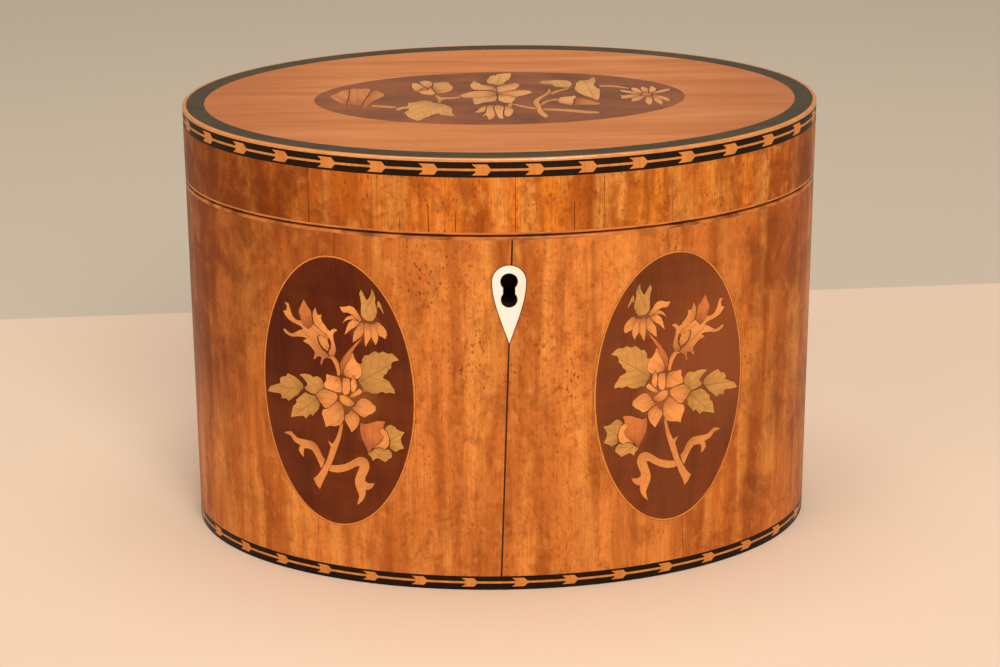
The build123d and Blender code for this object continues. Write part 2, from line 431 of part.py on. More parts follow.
# The flower spray of the lid's oval, from its centre.
top_spray = (
    # five-petalled flower in the middle, with the leaf above it
    ("leaf", (
        (3.3, 23.1), (3.6, 21.5), (3.3, 19), (3, 17.1), (2.2, 15.6), (1.6, 14), (1.3, 12.4),
        (0.5, 11.6), (-0.3, 11.3), (-1.2, 12.4), (-2.3, 13.2), (-2.8, 14.6), (-2.6, 16.5),
        (-2.2, 17.8), (-1.8, 19.9), (-1, 20.7), (-0.3, 20.5), (0.1, 21.8), (1.4, 22.3), (2.5, 22.6))),
    ("flower", (
        (-5.75, 15.7), (-5.3, 14.6), (-4.5, 13.4), (-4.2, 12), (-2.9, 11.5), (-2, 10.9), (-1, 9.6),
        (-0.7, 8.4), (-0.6, 5.6), (-1.6, 6.9), (-3.2, 7.2), (-4.8, 7.2), (-6.1, 7.7), (-6.6, 9),
        (-6.8, 10.9), (-6.8, 12.4), (-6.4, 14))),
    ("flower", (
        (0.3, 10.6), (1.1, 11.5), (2.7, 12.4), (4.25, 13.1), (5, 12.4), (5.2, 10.9), (4.7, 9.3),
        (4.1, 7.4), (3, 6.5), (1.2, 5.6), (-0.2, 4.8), (-0.4, 6.8), (-0.5, 8.7), (-0.3, 9.9))),
    ("flower", (
        (-9.7, 2.1), (-8.9, 3.4), (-7.6, 4.9), (-6.7, 5.6), (-5.4, 6), (-3.6, 6.2), (-2, 5.8),
        (-0.9, 4.6), (-0.7, 2.6), (-2.4, 1.4), (-4.4, 0.7), (-6.4, 0.3), (-7.9, 0.3), (-9, 0.7))),
    ("flower", (
        (-6.6, 0), (-4.4, 0.4), (-2.4, 1.1), (-0.8, 2.2), (-0.7, 0.6), (-0.75, -0.7), (-1.05, -2.6),
        (-2, -3.5), (-2.9, -3.8), (-4.2, -4.3), (-5.1, -5.4), (-5.75, -6), (-6.4, -5.5), (-6.5, -3.5))),
    ("flower", (
        (4.6, 6.2), (6.1, 6.3), (7.5, 5.7), (8, 4), (6.75, 2.75), (5.5, 1.5), (4, 0.6), (2.8, 1.4),
        (1.2, 2.4), (-0.3, 3.1), (-0.2, 4.4), (1.4, 5), (3, 5.5))),
    ("flower", (
        (3.9, 0.2), (3.6, -1.6), (3, -3.5), (2.5, -5), (1.4, -4.9), (0.5, -4.1), (-0.3, -2.6),
        (-0.5, -0.7), (-0.3, 1.4), (-0.2, 2.6), (1.2, 2), (2.6, 1.1))),
    # small flower below it
    ("flower", (
        (-1.2, -6.5), (-0.1, -6.8), (0.5, -7.6), (0.6, -9.4), (0.3, -11.4), (0.2, -13.4), (0.1, -15.6),
        (0.2, -18.2), (-0.4, -18.8), (-0.9, -17.9), (-1.2, -16), (-1.5, -13.4), (-1.6, -10.8),
        (-1.8, -8.4))),
    ("flower", (
        (0.8, -7.6), (1.75, -7.9), (2.2, -9.1), (2.8, -11), (2.7, -12.9), (2.2, -15.1), (1.75, -16.6),
        (0.8, -16.9), (0.45, -15.6), (0.5, -13.2), (0.8, -10.6))),
    ("flower", (
        (-1.5, -6.7), (-2.9, -6.9), (-3.4, -8.6), (-3.6, -10.8), (-3.7, -12.6), (-4, -14.4),
        (-4.9, -16.5), (-3.8, -15.4), (-3.5, -17.4), (-3.4, -19.4), (-2.6, -18.8), (-2, -17.4),
        (-1.6, -15.8), (-1.8, -13.2), (-1.9, -10.6), (-2, -8.4))),
    ("flower", (
        (-3.1, -7.1), (-4.2, -7.9), (-5, -9.1), (-5.75, -11.3), (-6.4, -12.9), (-5.3, -13.2),
        (-4.1, -12.4), (-3.8, -10.6), (-3.6, -8.6))),
    # broad flower, small flower and toothed leaf on the left
    ("shaded", (
        (-40.7, 2.8), (-40.3, 4.4), (-39.1, 5.9), (-38.6, 7.5), (-37.8, 8.8), (-36.5, 9.2),
        (-36.3, 6.4), (-36.4, 3), (-36.6, 0), (-36.9, -2.8), (-36.6, -5.5), (-37.3, -5), (-38, -4.1),
        (-38.6, -2.5), (-39.4, -0.6), (-40.2, 1.2))),
    ("shaded", (
        (-36.2, 9.4), (-35.3, 10.2), (-34.1, 10.1), (-33.3, 9.7), (-32.2, 10.1), (-31.3, 9.6),
        (-31.1, 8.3), (-31.6, 5), (-32.2, 1.6), (-32.8, -2), (-33.3, -5.6), (-33.4, -7.5),
        (-34.1, -5.9), (-34.8, -4.7), (-35.6, -4), (-36.4, -4.8), (-36.5, -2.4), (-36.3, 0.4),
        (-36.1, 3.4), (-36, 6.4))),
    ("shaded", (
        (-30.6, 7.6), (-29.7, 8), (-28.7, 6.6), (-27.9, 4.7), (-27.8, 2.8), (-28.7, 1.5), (-29.5, 0),
        (-30.5, -1.5), (-31, -3.4), (-31.6, -5.3), (-32, -7.2), (-32.5, -8.3), (-33.1, -8.6),
        (-33.2, -6.6), (-32.6, -3), (-31.9, 1), (-31.2, 5))),
    ("shaded", (
        (-18.6, 8.9), (-18.1, 9.5), (-17.4, 9.2), (-17.3, 8.3), (-17.9, 7.9), (-18.5, 8.2))),
    ("flower", (
        (-19.1, 15.9), (-17.8, 16.7), (-16.6, 15.9), (-16.1, 14.4), (-16.2, 12), (-16.6, 9.9),
        (-17.6, 9.9), (-18.4, 11.6), (-19, 13.6))),
    ("flower", (
        (-15.9, 14.2), (-14.7, 14.7), (-13.4, 15.3), (-12, 14.8), (-11.9, 13.1), (-11.1, 10.9),
        (-11.1, 8.7), (-11.7, 6.9), (-12.8, 5.6), (-14.2, 4.7), (-15.2, 4.6), (-15.6, 7), (-15.9, 9.4),
        (-15.9, 11.8))),
    ("flower", (
        (-20.9, 14.2), (-20.1, 14.4), (-19.3, 13.4), (-18.7, 11.6), (-18.2, 9.9), (-18.9, 9.2),
        (-19.2, 7.4), (-19.5, 5.9), (-20.5, 7.5), (-20.9, 9.7), (-21.1, 11.2), (-21.1, 13.1))),
    ("flower", (
        (-18.9, 8.2), (-18.6, 7.6), (-17.2, 7.6), (-16.9, 9.5), (-16.2, 9.5), (-15.9, 7), (-15.4, 4.4),
        (-16, 3.5), (-16.9, 3.3), (-18.4, 4.2), (-19.3, 5.5))),
    ("leaf", (
        (-19.2, -1.9), (-17.8, -1.6), (-16.9, -2.5), (-15.6, -4.1), (-14.5, -4.7), (-13.4, -5.6),
        (-12.3, -7.2), (-11.7, -9.1), (-11.6, -11.2), (-11.7, -13.4), (-11.1, -15.3), (-11.9, -15.9),
        (-13.1, -15.3), (-14.5, -14.5), (-15, -13.3), (-15.9, -13.9), (-16.7, -14.7), (-17.5, -16.2),
        (-18.4, -17.2), (-19.1, -18.7), (-19.75, -19.4), (-20.5, -18.7), (-21.1, -17.8),
        (-21.9, -16.6), (-22.3, -15.3), (-22.7, -13.4), (-23.1, -12.8), (-22.7, -11.6), (-21.9, -10),
        (-21.9, -8.5), (-23.1, -8.8), (-24.4, -10), (-25, -9.8), (-24.5, -8.1), (-23.1, -6.9),
        (-22.2, -6.5), (-22, -3.8), (-20.9, -3.4), (-20, -3.1))),
    # bud and leaves on the right
    ("leaf", (
        (10.2, 13.7), (10.9, 14.8), (12.5, 15), (14, 15.3), (15.6, 15.3), (17, 14.7), (17.8, 13.4),
        (18, 11.9), (17.8, 10), (17.3, 8.4), (16.8, 7.7), (15.9, 8.4), (14.4, 8.9), (13.6, 9.7),
        (13.3, 10.9), (12.5, 11.9), (11.2, 12.2), (10.3, 12.7))),
    ("leaf", (
        (23.75, 18.1), (24.1, 15.9), (24, 13.7), (23.4, 11.6), (23.4, 9.7), (23.75, 7.8), (24.4, 6.6),
        (24.5, 4.4), (24.2, 2.2), (24, 0), (23.75, -1.9), (23.3, -3.4), (22.8, -3.3), (22.2, -1.6),
        (21.2, -0.3), (20.3, 0.5), (20, 1.6), (19.2, 3.1), (18.7, 5), (18.4, 6.9), (18.6, 8.7),
        (19, 10.6), (19, 12.2), (19.8, 13.7), (20.1, 14.7), (21.2, 14.7), (22.5, 15.3), (23.1, 16.9))),
    ("flower", (
        (14.4, -0.9), (15.3, -0.3), (16.9, 0), (18, 0.9), (18.3, -0.6), (17.8, -1.9), (17.4, -3.1),
        (17.5, -4.7), (17.2, -6.2), (16.9, -8.1), (15.8, -7.2), (14.4, -5.9), (13.7, -4.7),
        (14.05, -2.5))),
    ("shaded", (
        (18.3, -1.7), (19.7, -1.9), (20.9, -3.1), (22, -4.4), (22.8, -5.3), (23.75, -6.2),
        (23.4, -7.2), (22.5, -7.8), (20.6, -7.5), (18.4, -7.8), (17.3, -8), (17.5, -6.2), (17.8, -4.7),
        (17.7, -3.1))),
    # daisy
    ("shaded", (
        (34.2, 1.3), (34.9, 1.9), (35.9, 1.9), (36.6, 1.2), (36.6, 0.2), (36, -0.5), (34.9, -0.5),
        (34.2, 0.2))),
    ("flower", (
        (29.2, 5.4), (30.2, 4.9), (31.4, 4.3), (32.5, 3.3), (33.9, 1.5), (33.6, 0.9), (31.9, 1.8),
        (30.6, 2.8), (29.6, 3.9))),
    ("flower", (
        (32.2, 7.3), (32.9, 7.1), (33.8, 6.2), (34.2, 4.4), (34.6, 2), (34.1, 1.7), (32.6, 3.5),
        (32.3, 4.6), (32.1, 6))),
    ("flower", (
        (35, 8.2), (35.5, 7.3), (36.1, 6.2), (36.2, 4.5), (35.8, 2.2), (34.9, 2.2), (34.4, 4.6),
        (34.4, 6.2), (34.6, 7.4))),
    ("flower", (
        (37.2, 8.6), (37.8, 7.5), (38.1, 6.2), (38, 4.6), (37.4, 3.2), (36.4, 1.8), (36.1, 2.1),
        (36.4, 4.6), (36.5, 6.2), (36.8, 7.5))),
    ("flower", (
        (41.5, 5.8), (41.3, 4.4), (40.3, 3.4), (39.2, 2.6), (38, 1.8), (36.9, 1), (36.8, 1.6),
        (37.7, 3.2), (38.7, 4.4), (39.9, 5.3))),
    ("flower", (
        (38, -0.3), (38.8, -0.8), (39.7, -1.8), (40.4, -3.2), (40.5, -4.4), (40, -5.4), (39.2, -4.6),
        (38.5, -3.3), (37.9, -2), (36.9, -0.4), (36.9, 0.6))),
    ("flower", (
        (38.2, -8.8), (37.5, -7.2), (36.9, -5.6), (36.7, -4), (36.7, -2.3), (36.3, -0.5), (36.7, -0.4),
        (37.9, -2.2), (38.4, -3.8), (38.6, -5.6), (38.5, -7.2))),
    ("flower", (
        (35.3, -8.7), (34.7, -7.2), (34.5, -5.6), (34.7, -4), (35, -2.5), (35.2, -0.7), (36, -0.7),
        (36.4, -2.3), (36.4, -4), (36.2, -5.6), (35.9, -7.2))),
    ("flower", (
        (31.3, -5.4), (31.3, -3.8), (31.8, -2.2), (32.6, -0.9), (34.3, 0), (34.9, -0.7), (34.4, -1.9),
        (33.9, -2.9), (33.2, -4.2), (32.2, -5))),
    ("flower", (
        (29, 0.3), (29.9, 0.2), (31.2, 0.8), (32.6, 1.2), (34, 0.8), (34, 0.2), (32.4, -0.7),
        (31.6, -2), (30, -2.6), (28.9, -2.6), (29.2, -1.2))),
    # stalks
    ("stem", (
        (10, -18.7), (10.8, -16.9), (10.6, -15.9), (10.2, -14.7), (9.8, -12.8), (9.5, -10),
        (9.4, -7.2), (9.1, -5), (9.5, -2.8), (10.2, -0.6), (11.2, 1.2), (11.9, 2.5), (12.7, 4.9),
        (12.5, 6.6), (12.2, 7.6), (11.9, 6.9), (11.7, 5), (11.1, 3.1), (10.3, 1.2), (9.4, 0),
        (8.4, -1.9), (7.8, -4.1), (7.7, -6.2), (8.1, -8.1), (8.3, -10.6), (8.3, -13.1), (8.7, -15.3),
        (9.4, -17.2))),
    ("stem", (
        (12.9, 1.9), (13.5, 3.4), (14.6, 4.8), (16, 5.9), (17.2, 7.4), (16.4, 7.5), (15.2, 6.7),
        (13.7, 5.6), (12.7, 4.2), (12.2, 2.6))),
    ("stem", (
        (9.4, -6.9), (9.9, -4.9), (11.2, -3.1), (13, -2.1), (14, -2), (13.9, -3.2), (12.6, -3.3),
        (11.4, -4.3), (10.4, -6), (10, -7.2))),
    ("stem", (
        (9.7, -10), (11.2, -10.3), (14.4, -10.9), (17.5, -11.6), (20, -12.8), (22.8, -13.7),
        (22.9, -15.3), (20.6, -15.4), (18.7, -14.7), (16.2, -13.8), (14.4, -13.1), (11.2, -12.4),
        (9.9, -11.9))),
    ("stem", (
        (2.2, -5.1), (3.1, -5.7), (4.9, -7.2), (6.7, -8.7), (8.1, -9.5), (8.2, -11), (6.6, -10.2),
        (4.8, -8.7), (3.2, -7), (2.6, -6.4), (2.5, -8.6), (1.6, -8.6), (1.6, -6.6))),
    ("stem", (
        (-30.9, -5), (-29, -5.6), (-26.8, -6.1), (-24.8, -6.9), (-24.6, -8.2), (-26.6, -7.9),
        (-28.8, -7.3), (-30.6, -6.6))),
    ("stem", (
        (-15.6, 3.2), (-14.8, 2.8), (-14.3, 1.2), (-13.2, 0.7), (-11.4, 0.8), (-9.6, 1.4), (-9.5, 0.3),
        (-11.2, -0.5), (-13, -0.7), (-13.9, -1.6), (-14.3, -3.2), (-14.6, -4), (-15, -3.4),
        (-14.9, -1.4), (-15.2, 0.4), (-15.6, 1.9))),
    ("stem", (
        (24.7, 9.9), (26.4, 9.8), (28.6, 9.3), (30.2, 8.2), (31.7, 7.2), (31.6, 6.4), (30, 7.1),
        (28.4, 8.1), (26.4, 8.6), (24.4, 8.5))),
)
woods = ("flower", "shaded", "leaf", "stem")
smallest_piece = 0.25


def inlay(pieces):
    """The flat drawing of each wood of a spray, and of the holes that they fill."""
    drawn = {wood: Sketch() for wood in woods}
    holes = Sketch()
    for wood, points in pieces:
        visible = outline(points) - holes
        for face in visible.faces():
            if face.area > smallest_piece:
                drawn[wood] += face
        holes += outline(points, kerf)
    return drawn, holes


def ground_round(patch, holes):
    """The dark ground that is left round the pieces, without the crumbs between them."""
    return Sketch() + [face for face in (patch - holes).faces() if face.area > smallest_piece]


def keyhole():
    """The keyhole's outline: its origin is the centre of the round."""
    foot = Pos(0, -key_foot_drop) * Circle(key_foot_radius)
    waist = Pos(0, -key_foot_drop / 2) * Rectangle(key_waist_width, key_foot_drop)
    return Circle(key_round_radius) + foot + waist


def keyhole_cutter():
    """The way for the key, from outside the front to inside the lock case."""
    return side_prism(keyhole(), 0, key_height, outward=2.0, inward=lock_front_inset() + case_wall + 0.6)


def lock_front_inset():
    """How far behind the front surface the lock case begins."""
    return wall_inset - lock_plate_thick - case_depth


def escutcheon_outline(grow=0.0):
    """A drop with its point down: its origin is the centre of the round."""
    radius = escutcheon_width / 2 + grow
    tail = escutcheon_tail + grow
    sides = [
        Bezier((x, 0), (x, -tail * 0.33), (x * 0.4, -tail * 0.68), (0, -tail)) for x in (-radius, radius)
    ]
    return make_face([*sides, Line((radius, 0), (-radius, 0))]) + Circle(radius)


def joint_slot(top, foot, z_low, z_high, width):
    """A thin upright cutter between two places along the outline: one at its top, one at its foot."""
    tall = z_high - z_low
    lean = (foot - top) / tall
    line = Rot(0, 0, degrees(atan(lean))) * Rectangle(width, tall * sqrt(1 + lean * lean))
    return side_prism(line, (top + foot) / 2, (z_low + z_high) / 2, inward=2.5)


def body_joints(z_low, z_high):
    """The joints between the body's veneer leaves: three leaning ones in front, the others upright."""
    slots = []
    for number, (top, foot) in enumerate(front_joints):
        width = joint_width if number else front_joint_width
        slots.append(joint_slot(top, foot, z_low - 1, z_high + 1, width))
    for number in range(2, 2 + rear_joints):
        place = number * leaf_width
        slots.append(joint_slot(place, place, z_low - 1, z_high + 1, joint_width))
    return slots


def lid_slots(z_low, z_high):
    """The lid's veneer joints, and the short cracks that open from its lower edge."""
    first, last = lid_joints[0], lid_joints[-1]
    pitch = (outline_length() - (last - first)) / lid_rear_leaves
    places = [*lid_joints, *(last + number * pitch for number in range(1, lid_rear_leaves))]
    slots = [joint_slot(place, place, z_low - 1, z_high + 1, lid_joint_width) for place in places]
    slots += [joint_slot(place, place, z_low - 1, top, crack_width) for place, top in lid_cracks]
    return slots


def wrapped(sketch, side, shell):
    """A panel drawing laid into the curved front."""
    return side_prism(sketch, panel_places[side], panel_centre_height) & shell


def placed_spray(sketch, side):
    """The right spray is the left one mirrored. Each sits a little off its panel's centre."""
    drawing = mirror(sketch, Plane.YZ) if side == "right" else sketch
    return Pos(spray_shifts[side], 0) * Rot(0, 0, spray_turns[side]) * drawing


def banding(z_low, height, start, feather_length, feather_height):
    """A strip of feather banding: the dark ground and the light feathers with their line."""
    z_middle = z_low + height / 2
    strip = oval_ring(z_low, z_low + height, 0, veneer_thick)
    half, tall = feather_length / 2, feather_height / 2
    barb = -half + feather_notch
    outline = Polyline(
        (-half, tall), (barb, tall * 0.43), (barb - feather_notch / 2, 0), (barb, -tall * 0.43), (-half, -tall),
        (half - feather_point, -tall), (half, 0), (half - feather_point, tall), close=True,
    )
    feather = make_face(outline)
    pitch = outline_length() / feather_count
    cutters = [
        side_prism(feather, start + number * pitch, z_middle, inward=2.0) for number in range(feather_count)
    ]
    line = oval_ring(z_middle - banding_line / 2, z_middle + banding_line / 2, 0, veneer_thick)
    feathers = strip & (Part() + cutters)
    line_pieces = line - cutters
    ground = strip - line - cutters
    return ground, [*feathers.solids(), *line_pieces.solids()]


def screw(x, y, z, direction):
    """A countersunk screw: its head is flush at the point, and the shank runs in the direction."""
    head_depth = screw_head_radius - screw_shank_radius
    profile = make_face(Polyline(
        (0, 0), (screw_head_radius, 0), (screw_shank_radius, -head_depth),
        (screw_shank_radius, -screw_length + screw_shank_radius), (0, -screw_length), close=True,
    ))
    turned = revolve(Plane.XZ * profile, Axis.Z)
    seat = Plane(origin=(x, y, z), z_dir=tuple(-component for component in direction))
    slot = Pos(0, 0, -screw_slot_depth / 2) * Box(2 * screw_head_radius, screw_slot_width, screw_slot_depth)
    return seat.location * turned, seat.location * (turned - slot)


def hinge_screws(z, direction):
    """The three screws of one hinge leaf: whole ones to cut with, and slotted ones to keep."""
    y = hinge_y - hinge_leaf_width * 0.62
    made = [screw(x, y, z, (0, 0, direction)) for x in (-screw_spacing, 0, screw_spacing)]
    return [pair[0] for pair in made], [pair[1] for pair in made]


def lock_screws():
    """The lock's four screws, driven outwards through its plate."""
    x = (lock_plate_width + case_width) / 4
    heights = (body_height - lock_plate_height + 2.6, body_height - selvedge_thick - 3.4)
    made = [screw(side * x, wall_face, z, (0, -1, 0)) for side in (-1, 1) for z in heights]
    return [pair[0] for pair in made], [pair[1] for pair in made]


def link_screws():
    x = (link_plate_width + link_width) / 4
    made = [screw(side * x, link_middle_y(), lid_bottom, (0, 0, 1)) for side in (-1, 1)]
    return [pair[0] for pair in made], [pair[1] for pair in made]


def bolt_front_y():
    """The bolt's face towards the lock plate."""
    return wall_face - lock_plate_thick - bolt_offset


def link_middle_y():
    return bolt_front_y() - bolt_thick / 2


# Heights inside the lock, from the selvedge down
nose_top = body_height - selvedge_thick - 1.4
nose_bottom = nose_top - bolt_nose_height
link_bottom = nose_bottom - link_below_nose
arm_top = link_bottom - 2 * bolt_clearance
arm_bottom = arm_top - bolt_arm_height
nose_end = -link_width / 2 - 2 * bolt_clearance


def lock_pocket():
    """The recess for the lock in the front wall."""
    inside = wall_face + pocket_reach
    plate_back = wall_face - lock_plate_thick
    case_back = plate_back - case_depth - case_clearance
    half_case = case_width / 2 + case_clearance
    plate = block(
        (-lock_plate_width / 2, lock_plate_width / 2),
        (plate_back, inside),
        (body_height - lock_plate_height, body_height + 1),
    )
    case_bottom = body_height - selvedge_thick - case_height - case_clearance
    case = block((-half_case, half_case), (case_back, inside), (case_bottom, body_height + 1))
    selvedge = block(
        (-lock_plate_width / 2, lock_plate_width / 2),
        (wall_face - selvedge_depth, inside),
        (body_height - selvedge_thick, body_height + 1),
    )
    return plate + case + selvedge


def link_plate_recess():
    """The recess for the link plate in the lid's lower edge."""
    y = link_middle_y()
    return block(
        (-link_plate_width / 2, link_plate_width / 2),
        (y - link_plate_depth / 2, y + link_plate_depth / 2),
        (lid_bottom - 1, lid_bottom + link_plate_thick),
    )


def hinge_recess(z_low, z_high):
    """The seat of one hinge leaf, with room for the knuckles."""
    half = hinge_length / 2 + hinge_clearance / 2
    seat = block((-half, half), (hinge_y - hinge_leaf_width, hinge_y + 5), (z_low, z_high))
    barrel = Pos(0, hinge_y, hinge_z) * Rot(0, 90, 0) * Cylinder(knuckle_radius + hinge_clearance, 2 * half)
    return seat + barrel


def make_carcass():
    """The oval wall, its facing and rim edging, and the base board with its baize."""
    rim = body_height - facing_thick
    cutters = [
        lock_pocket(),
        keyhole_cutter(),
        side_prism(escutcheon_outline(), 0, key_height, inward=escutcheon_inlay),
        hinge_recess(body_height - hinge_leaf_thick, body_height + 1),
        *lock_screws()[0],
        *hinge_screws(body_height, -1)[0],
    ]
    wall = oval_ring(0, rim, veneer_thick, wall_inset)
    wall -= oval_disc(-1, base_top, rebate_inset)
    wall -= oval_ring(body_height - rim_edging_height, body_height, 0, rim_edging_width)
    wall -= cutters
    facing = oval_ring(rim, body_height, rim_edging_width, wall_inset) - cutters
    edging = oval_ring(body_height - rim_edging_height, body_height, 0, rim_edging_width)
    outer_rim = edging.edges().group_by(Axis.Z)[-1].sort_by(SortBy.LENGTH)[-1]
    edging = fillet(outer_rim, edging_round) - cutters
    save("carcass_wall", wall)
    save("rim_facing", facing)
    save("rim_edging", edging)
    save("base_board", oval_disc(base_bottom, base_top, rebate_inset))
    save("base_baize", oval_disc(0, base_bottom, rebate_inset + baize_margin))


def make_body_veneer():
    """Ten leaves of satinwood round the body, cut for the panels, escutcheon and hinge."""
    z_high = body_height - rim_edging_height
    shell = oval_ring(foot_band_top, z_high, 0, veneer_thick)
    oval_outline = Ellipse(panel_width / 2, panel_height / 2)
    cutters = [side_prism(oval_outline, place, panel_centre_height) for place in panel_places.values()]
    cutters += body_joints(foot_band_top, z_high)
    cutters.append(side_prism(escutcheon_outline(), 0, key_height))
    cutters.append(hinge_recess(body_height - hinge_leaf_thick, body_height + 1))
    save("body_veneer", shell - cutters)


def make_foot_banding():
    sizes = (foot_banding_height, foot_feather_shift, foot_feather_length, foot_feather_height)
    ground, light = banding(foot_stringing_height, *sizes)
    save("foot_banding_ground", ground)
    save("foot_banding_feathers", Compound(light))
    save("foot_stringing", oval_ring(0, foot_stringing_height, 0, veneer_thick))


def make_panels():
    """The two front ovals: stringing, dark ground and the flower spray let into it."""
    shell = oval_ring(0, body_height, 0, veneer_thick)
    inner = Ellipse(panel_width / 2 - panel_stringing, panel_height / 2 - panel_stringing)
    line = Ellipse(panel_width / 2, panel_height / 2) - inner
    drawn, holes = inlay(panel_spray)
    for side in panel_places:
        save(f"{side}_panel_stringing", wrapped(line, side, shell))
        save(f"{side}_panel_ground", wrapped(ground_round(inner, placed_spray(holes, side)), side, shell))
        for wood in woods:
            save(f"{side}_spray_{wood}", wrapped(placed_spray(drawn[wood], side), side, shell))


def make_escutcheon():
    shell = oval_ring(0, body_height, -escutcheon_proud, escutcheon_inlay)
    plate = side_prism(escutcheon_outline(), 0, key_height, inward=escutcheon_inlay) & shell
    save("escutcheon", plate - keyhole_cutter())


def make_lining():
    """The foil of the tea compartment and the ledge for the inner cover."""
    foil_inset = wall_inset + foil_paste
    save("foil_floor", oval_disc(base_top, base_top + foil_thick, foil_inset))
    save("foil_wall", oval_ring(base_top + foil_thick, ledge_bottom, foil_inset, foil_inset + foil_thick))
    save("cover_ledge", oval_ring(ledge_bottom, ledge_top, wall_inset, wall_inset + ledge_width))


def make_lock():
    """The lock plate with its selvedge, the case, the key pin, the spring and the bolt."""
    plate_back = wall_face - lock_plate_thick
    half_plate, half_case = lock_plate_width / 2, case_width / 2
    case_top = body_height - selvedge_thick
    case_bottom = case_top - case_height
    cutters, kept = lock_screws()
    plate_bottom = body_height - lock_plate_height
    plate = block((-half_plate, half_plate), (plate_back, wall_face), (plate_bottom, case_top))
    plate += block((-half_plate, half_plate), (wall_face - selvedge_depth, wall_face), (case_top, body_height))
    half_slot = link_width / 2 + link_clearance
    y_middle = link_middle_y()
    slot = block(
        (-half_slot, half_slot),
        (y_middle - link_thick / 2 - link_clearance, y_middle + link_thick / 2 + link_clearance),
        (case_top - 1, body_height + 1),
    )
    save("lock_plate", plate - slot - cutters)
    save("lock_screws", Compound(kept))

    case_back = plate_back - case_depth
    case = block((-half_case, half_case), (case_back, plate_back), (case_bottom, case_top))
    case -= block(
        (-half_case + case_wall, half_case - case_wall), (case_back + case_wall, plate_back),
        (case_bottom + case_wall, case_top),
    )
    guide_span = (-half_case + case_wall, nose_end - bolt_travel - 1.0)
    case += block(guide_span, (case_back + case_wall, plate_back), (nose_top + bolt_clearance, case_top))
    rail_top = arm_bottom - bolt_clearance
    case += block(guide_span, (case_back + case_wall, plate_back), (rail_top - 1.0, rail_top))
    save("lock_case", case - keyhole_cutter())
    pin_length = case_depth - case_wall
    pin = Pos(0, plate_back - pin_length / 2, key_height) * Rot(90, 0, 0) * Cylinder(key_pin_radius, pin_length)
    save("lock_key_pin", pin)

    x_back = nose_end - bolt_nose_length
    y_span = (bolt_front_y() - bolt_thick, bolt_front_y())
    bolt = block((x_back, nose_end), y_span, (nose_bottom, nose_top))
    bolt += block((x_back, x_back + bolt_web), y_span, (arm_bottom, nose_bottom))
    bolt += block((x_back, bolt_arm_reach), y_span, (arm_bottom, arm_top))
    bolt -= block((-talon_width / 2, talon_width / 2), y_span, (arm_bottom, arm_bottom + talon_depth))
    save("lock_bolt", bolt)

    bow = bolt_offset - spring_thick
    x_middle = x_back + bolt_web / 2 + bolt_travel / 2
    start, top, end = (
        (x_middle - spring_length / 2, plate_back), (x_middle, plate_back - bow + 0.05),
        (x_middle + spring_length / 2, plate_back),
    )
    arc = ThreePointArc(start, top, end)
    inner = ThreePointArc(
        (start[0], start[1] - spring_thick), (top[0], top[1] - spring_thick), (end[0], end[1] - spring_thick)
    )
    strip = make_face([arc, inner, Line(start, (start[0], start[1] - spring_thick)),
                       Line(end, (end[0], end[1] - spring_thick))])
    save("lock_spring", Pos(0, 0, nose_bottom - 1.0) * extrude(strip, 2.0))


def hinge_cylinder(span, radius, gap):
    """A cylinder on the hinge's axis, between two values of x and shorter by a gap."""
    middle, length = (span[0] + span[1]) / 2, span[1] - span[0] - gap
    return Pos(middle, hinge_y, hinge_z) * Rot(0, 90, 0) * Cylinder(radius, length)


def make_hinge():
    """A brass butt hinge of five knuckles, its pin and its screws."""
    pitch = hinge_length / hinge_knuckles
    spans = [(-hinge_length / 2 + number * pitch, -hinge_length / 2 + (number + 1) * pitch)
             for number in range(hinge_knuckles)]
    bore = hinge_cylinder((-hinge_length, hinge_length), hinge_pin_radius + hinge_pin_clearance, 0)

    for node, z_span, own, z, direction in (
        ("hinge_body_leaf", (body_height - hinge_leaf_thick, body_height), 0, body_height, -1),
        ("hinge_lid_leaf", (lid_bottom, lid_bottom + hinge_leaf_thick), 1, lid_bottom, 1),
    ):
        cutters, kept = hinge_screws(z, direction)
        leaf = block((-hinge_length / 2, hinge_length / 2), (hinge_y - hinge_leaf_width, hinge_y), z_span)
        for number, span in enumerate(spans):
            if number % 2 == own:
                leaf += hinge_cylinder(span, knuckle_radius, knuckle_gap)
            else:
                leaf -= hinge_cylinder(span, knuckle_radius + hinge_clearance, -knuckle_gap)
        save(node, leaf - bore - cutters)
        save(node.replace("leaf", "screws"), Compound(kept))
    save("hinge_pin", hinge_cylinder((-hinge_length / 2, hinge_length / 2), hinge_pin_radius, 2 * knuckle_gap))


def make_lid_carcass():
    """The lid's wall, top board, facing and lower edging."""
    facing_top = lid_bottom + facing_thick
    cutters = [
        link_plate_recess(),
        hinge_recess(lid_bottom - 1, lid_bottom + hinge_leaf_thick),
        *link_screws()[0],
        *hinge_screws(lid_bottom, 1)[0],
    ]
    wall = oval_ring(facing_top, lid_board_bottom, veneer_thick, lid_wall_inset) - cutters
    facing = oval_ring(lid_bottom, facing_top, veneer_thick, lid_wall_inset) - cutters
    edging = oval_ring(lid_bottom, lid_bottom + lid_lower_edging_height, 0, veneer_thick)
    outer_rim = edging.edges().group_by(Axis.Z)[0].sort_by(SortBy.LENGTH)[-1]
    edging = fillet(outer_rim, edging_round) - cutters
    save("lid_wall", wall)
    save("lid_rim_facing", facing)
    save("lid_lower_edging", edging)
    save("lid_board", oval_disc(lid_board_bottom, lid_board_top, veneer_thick))


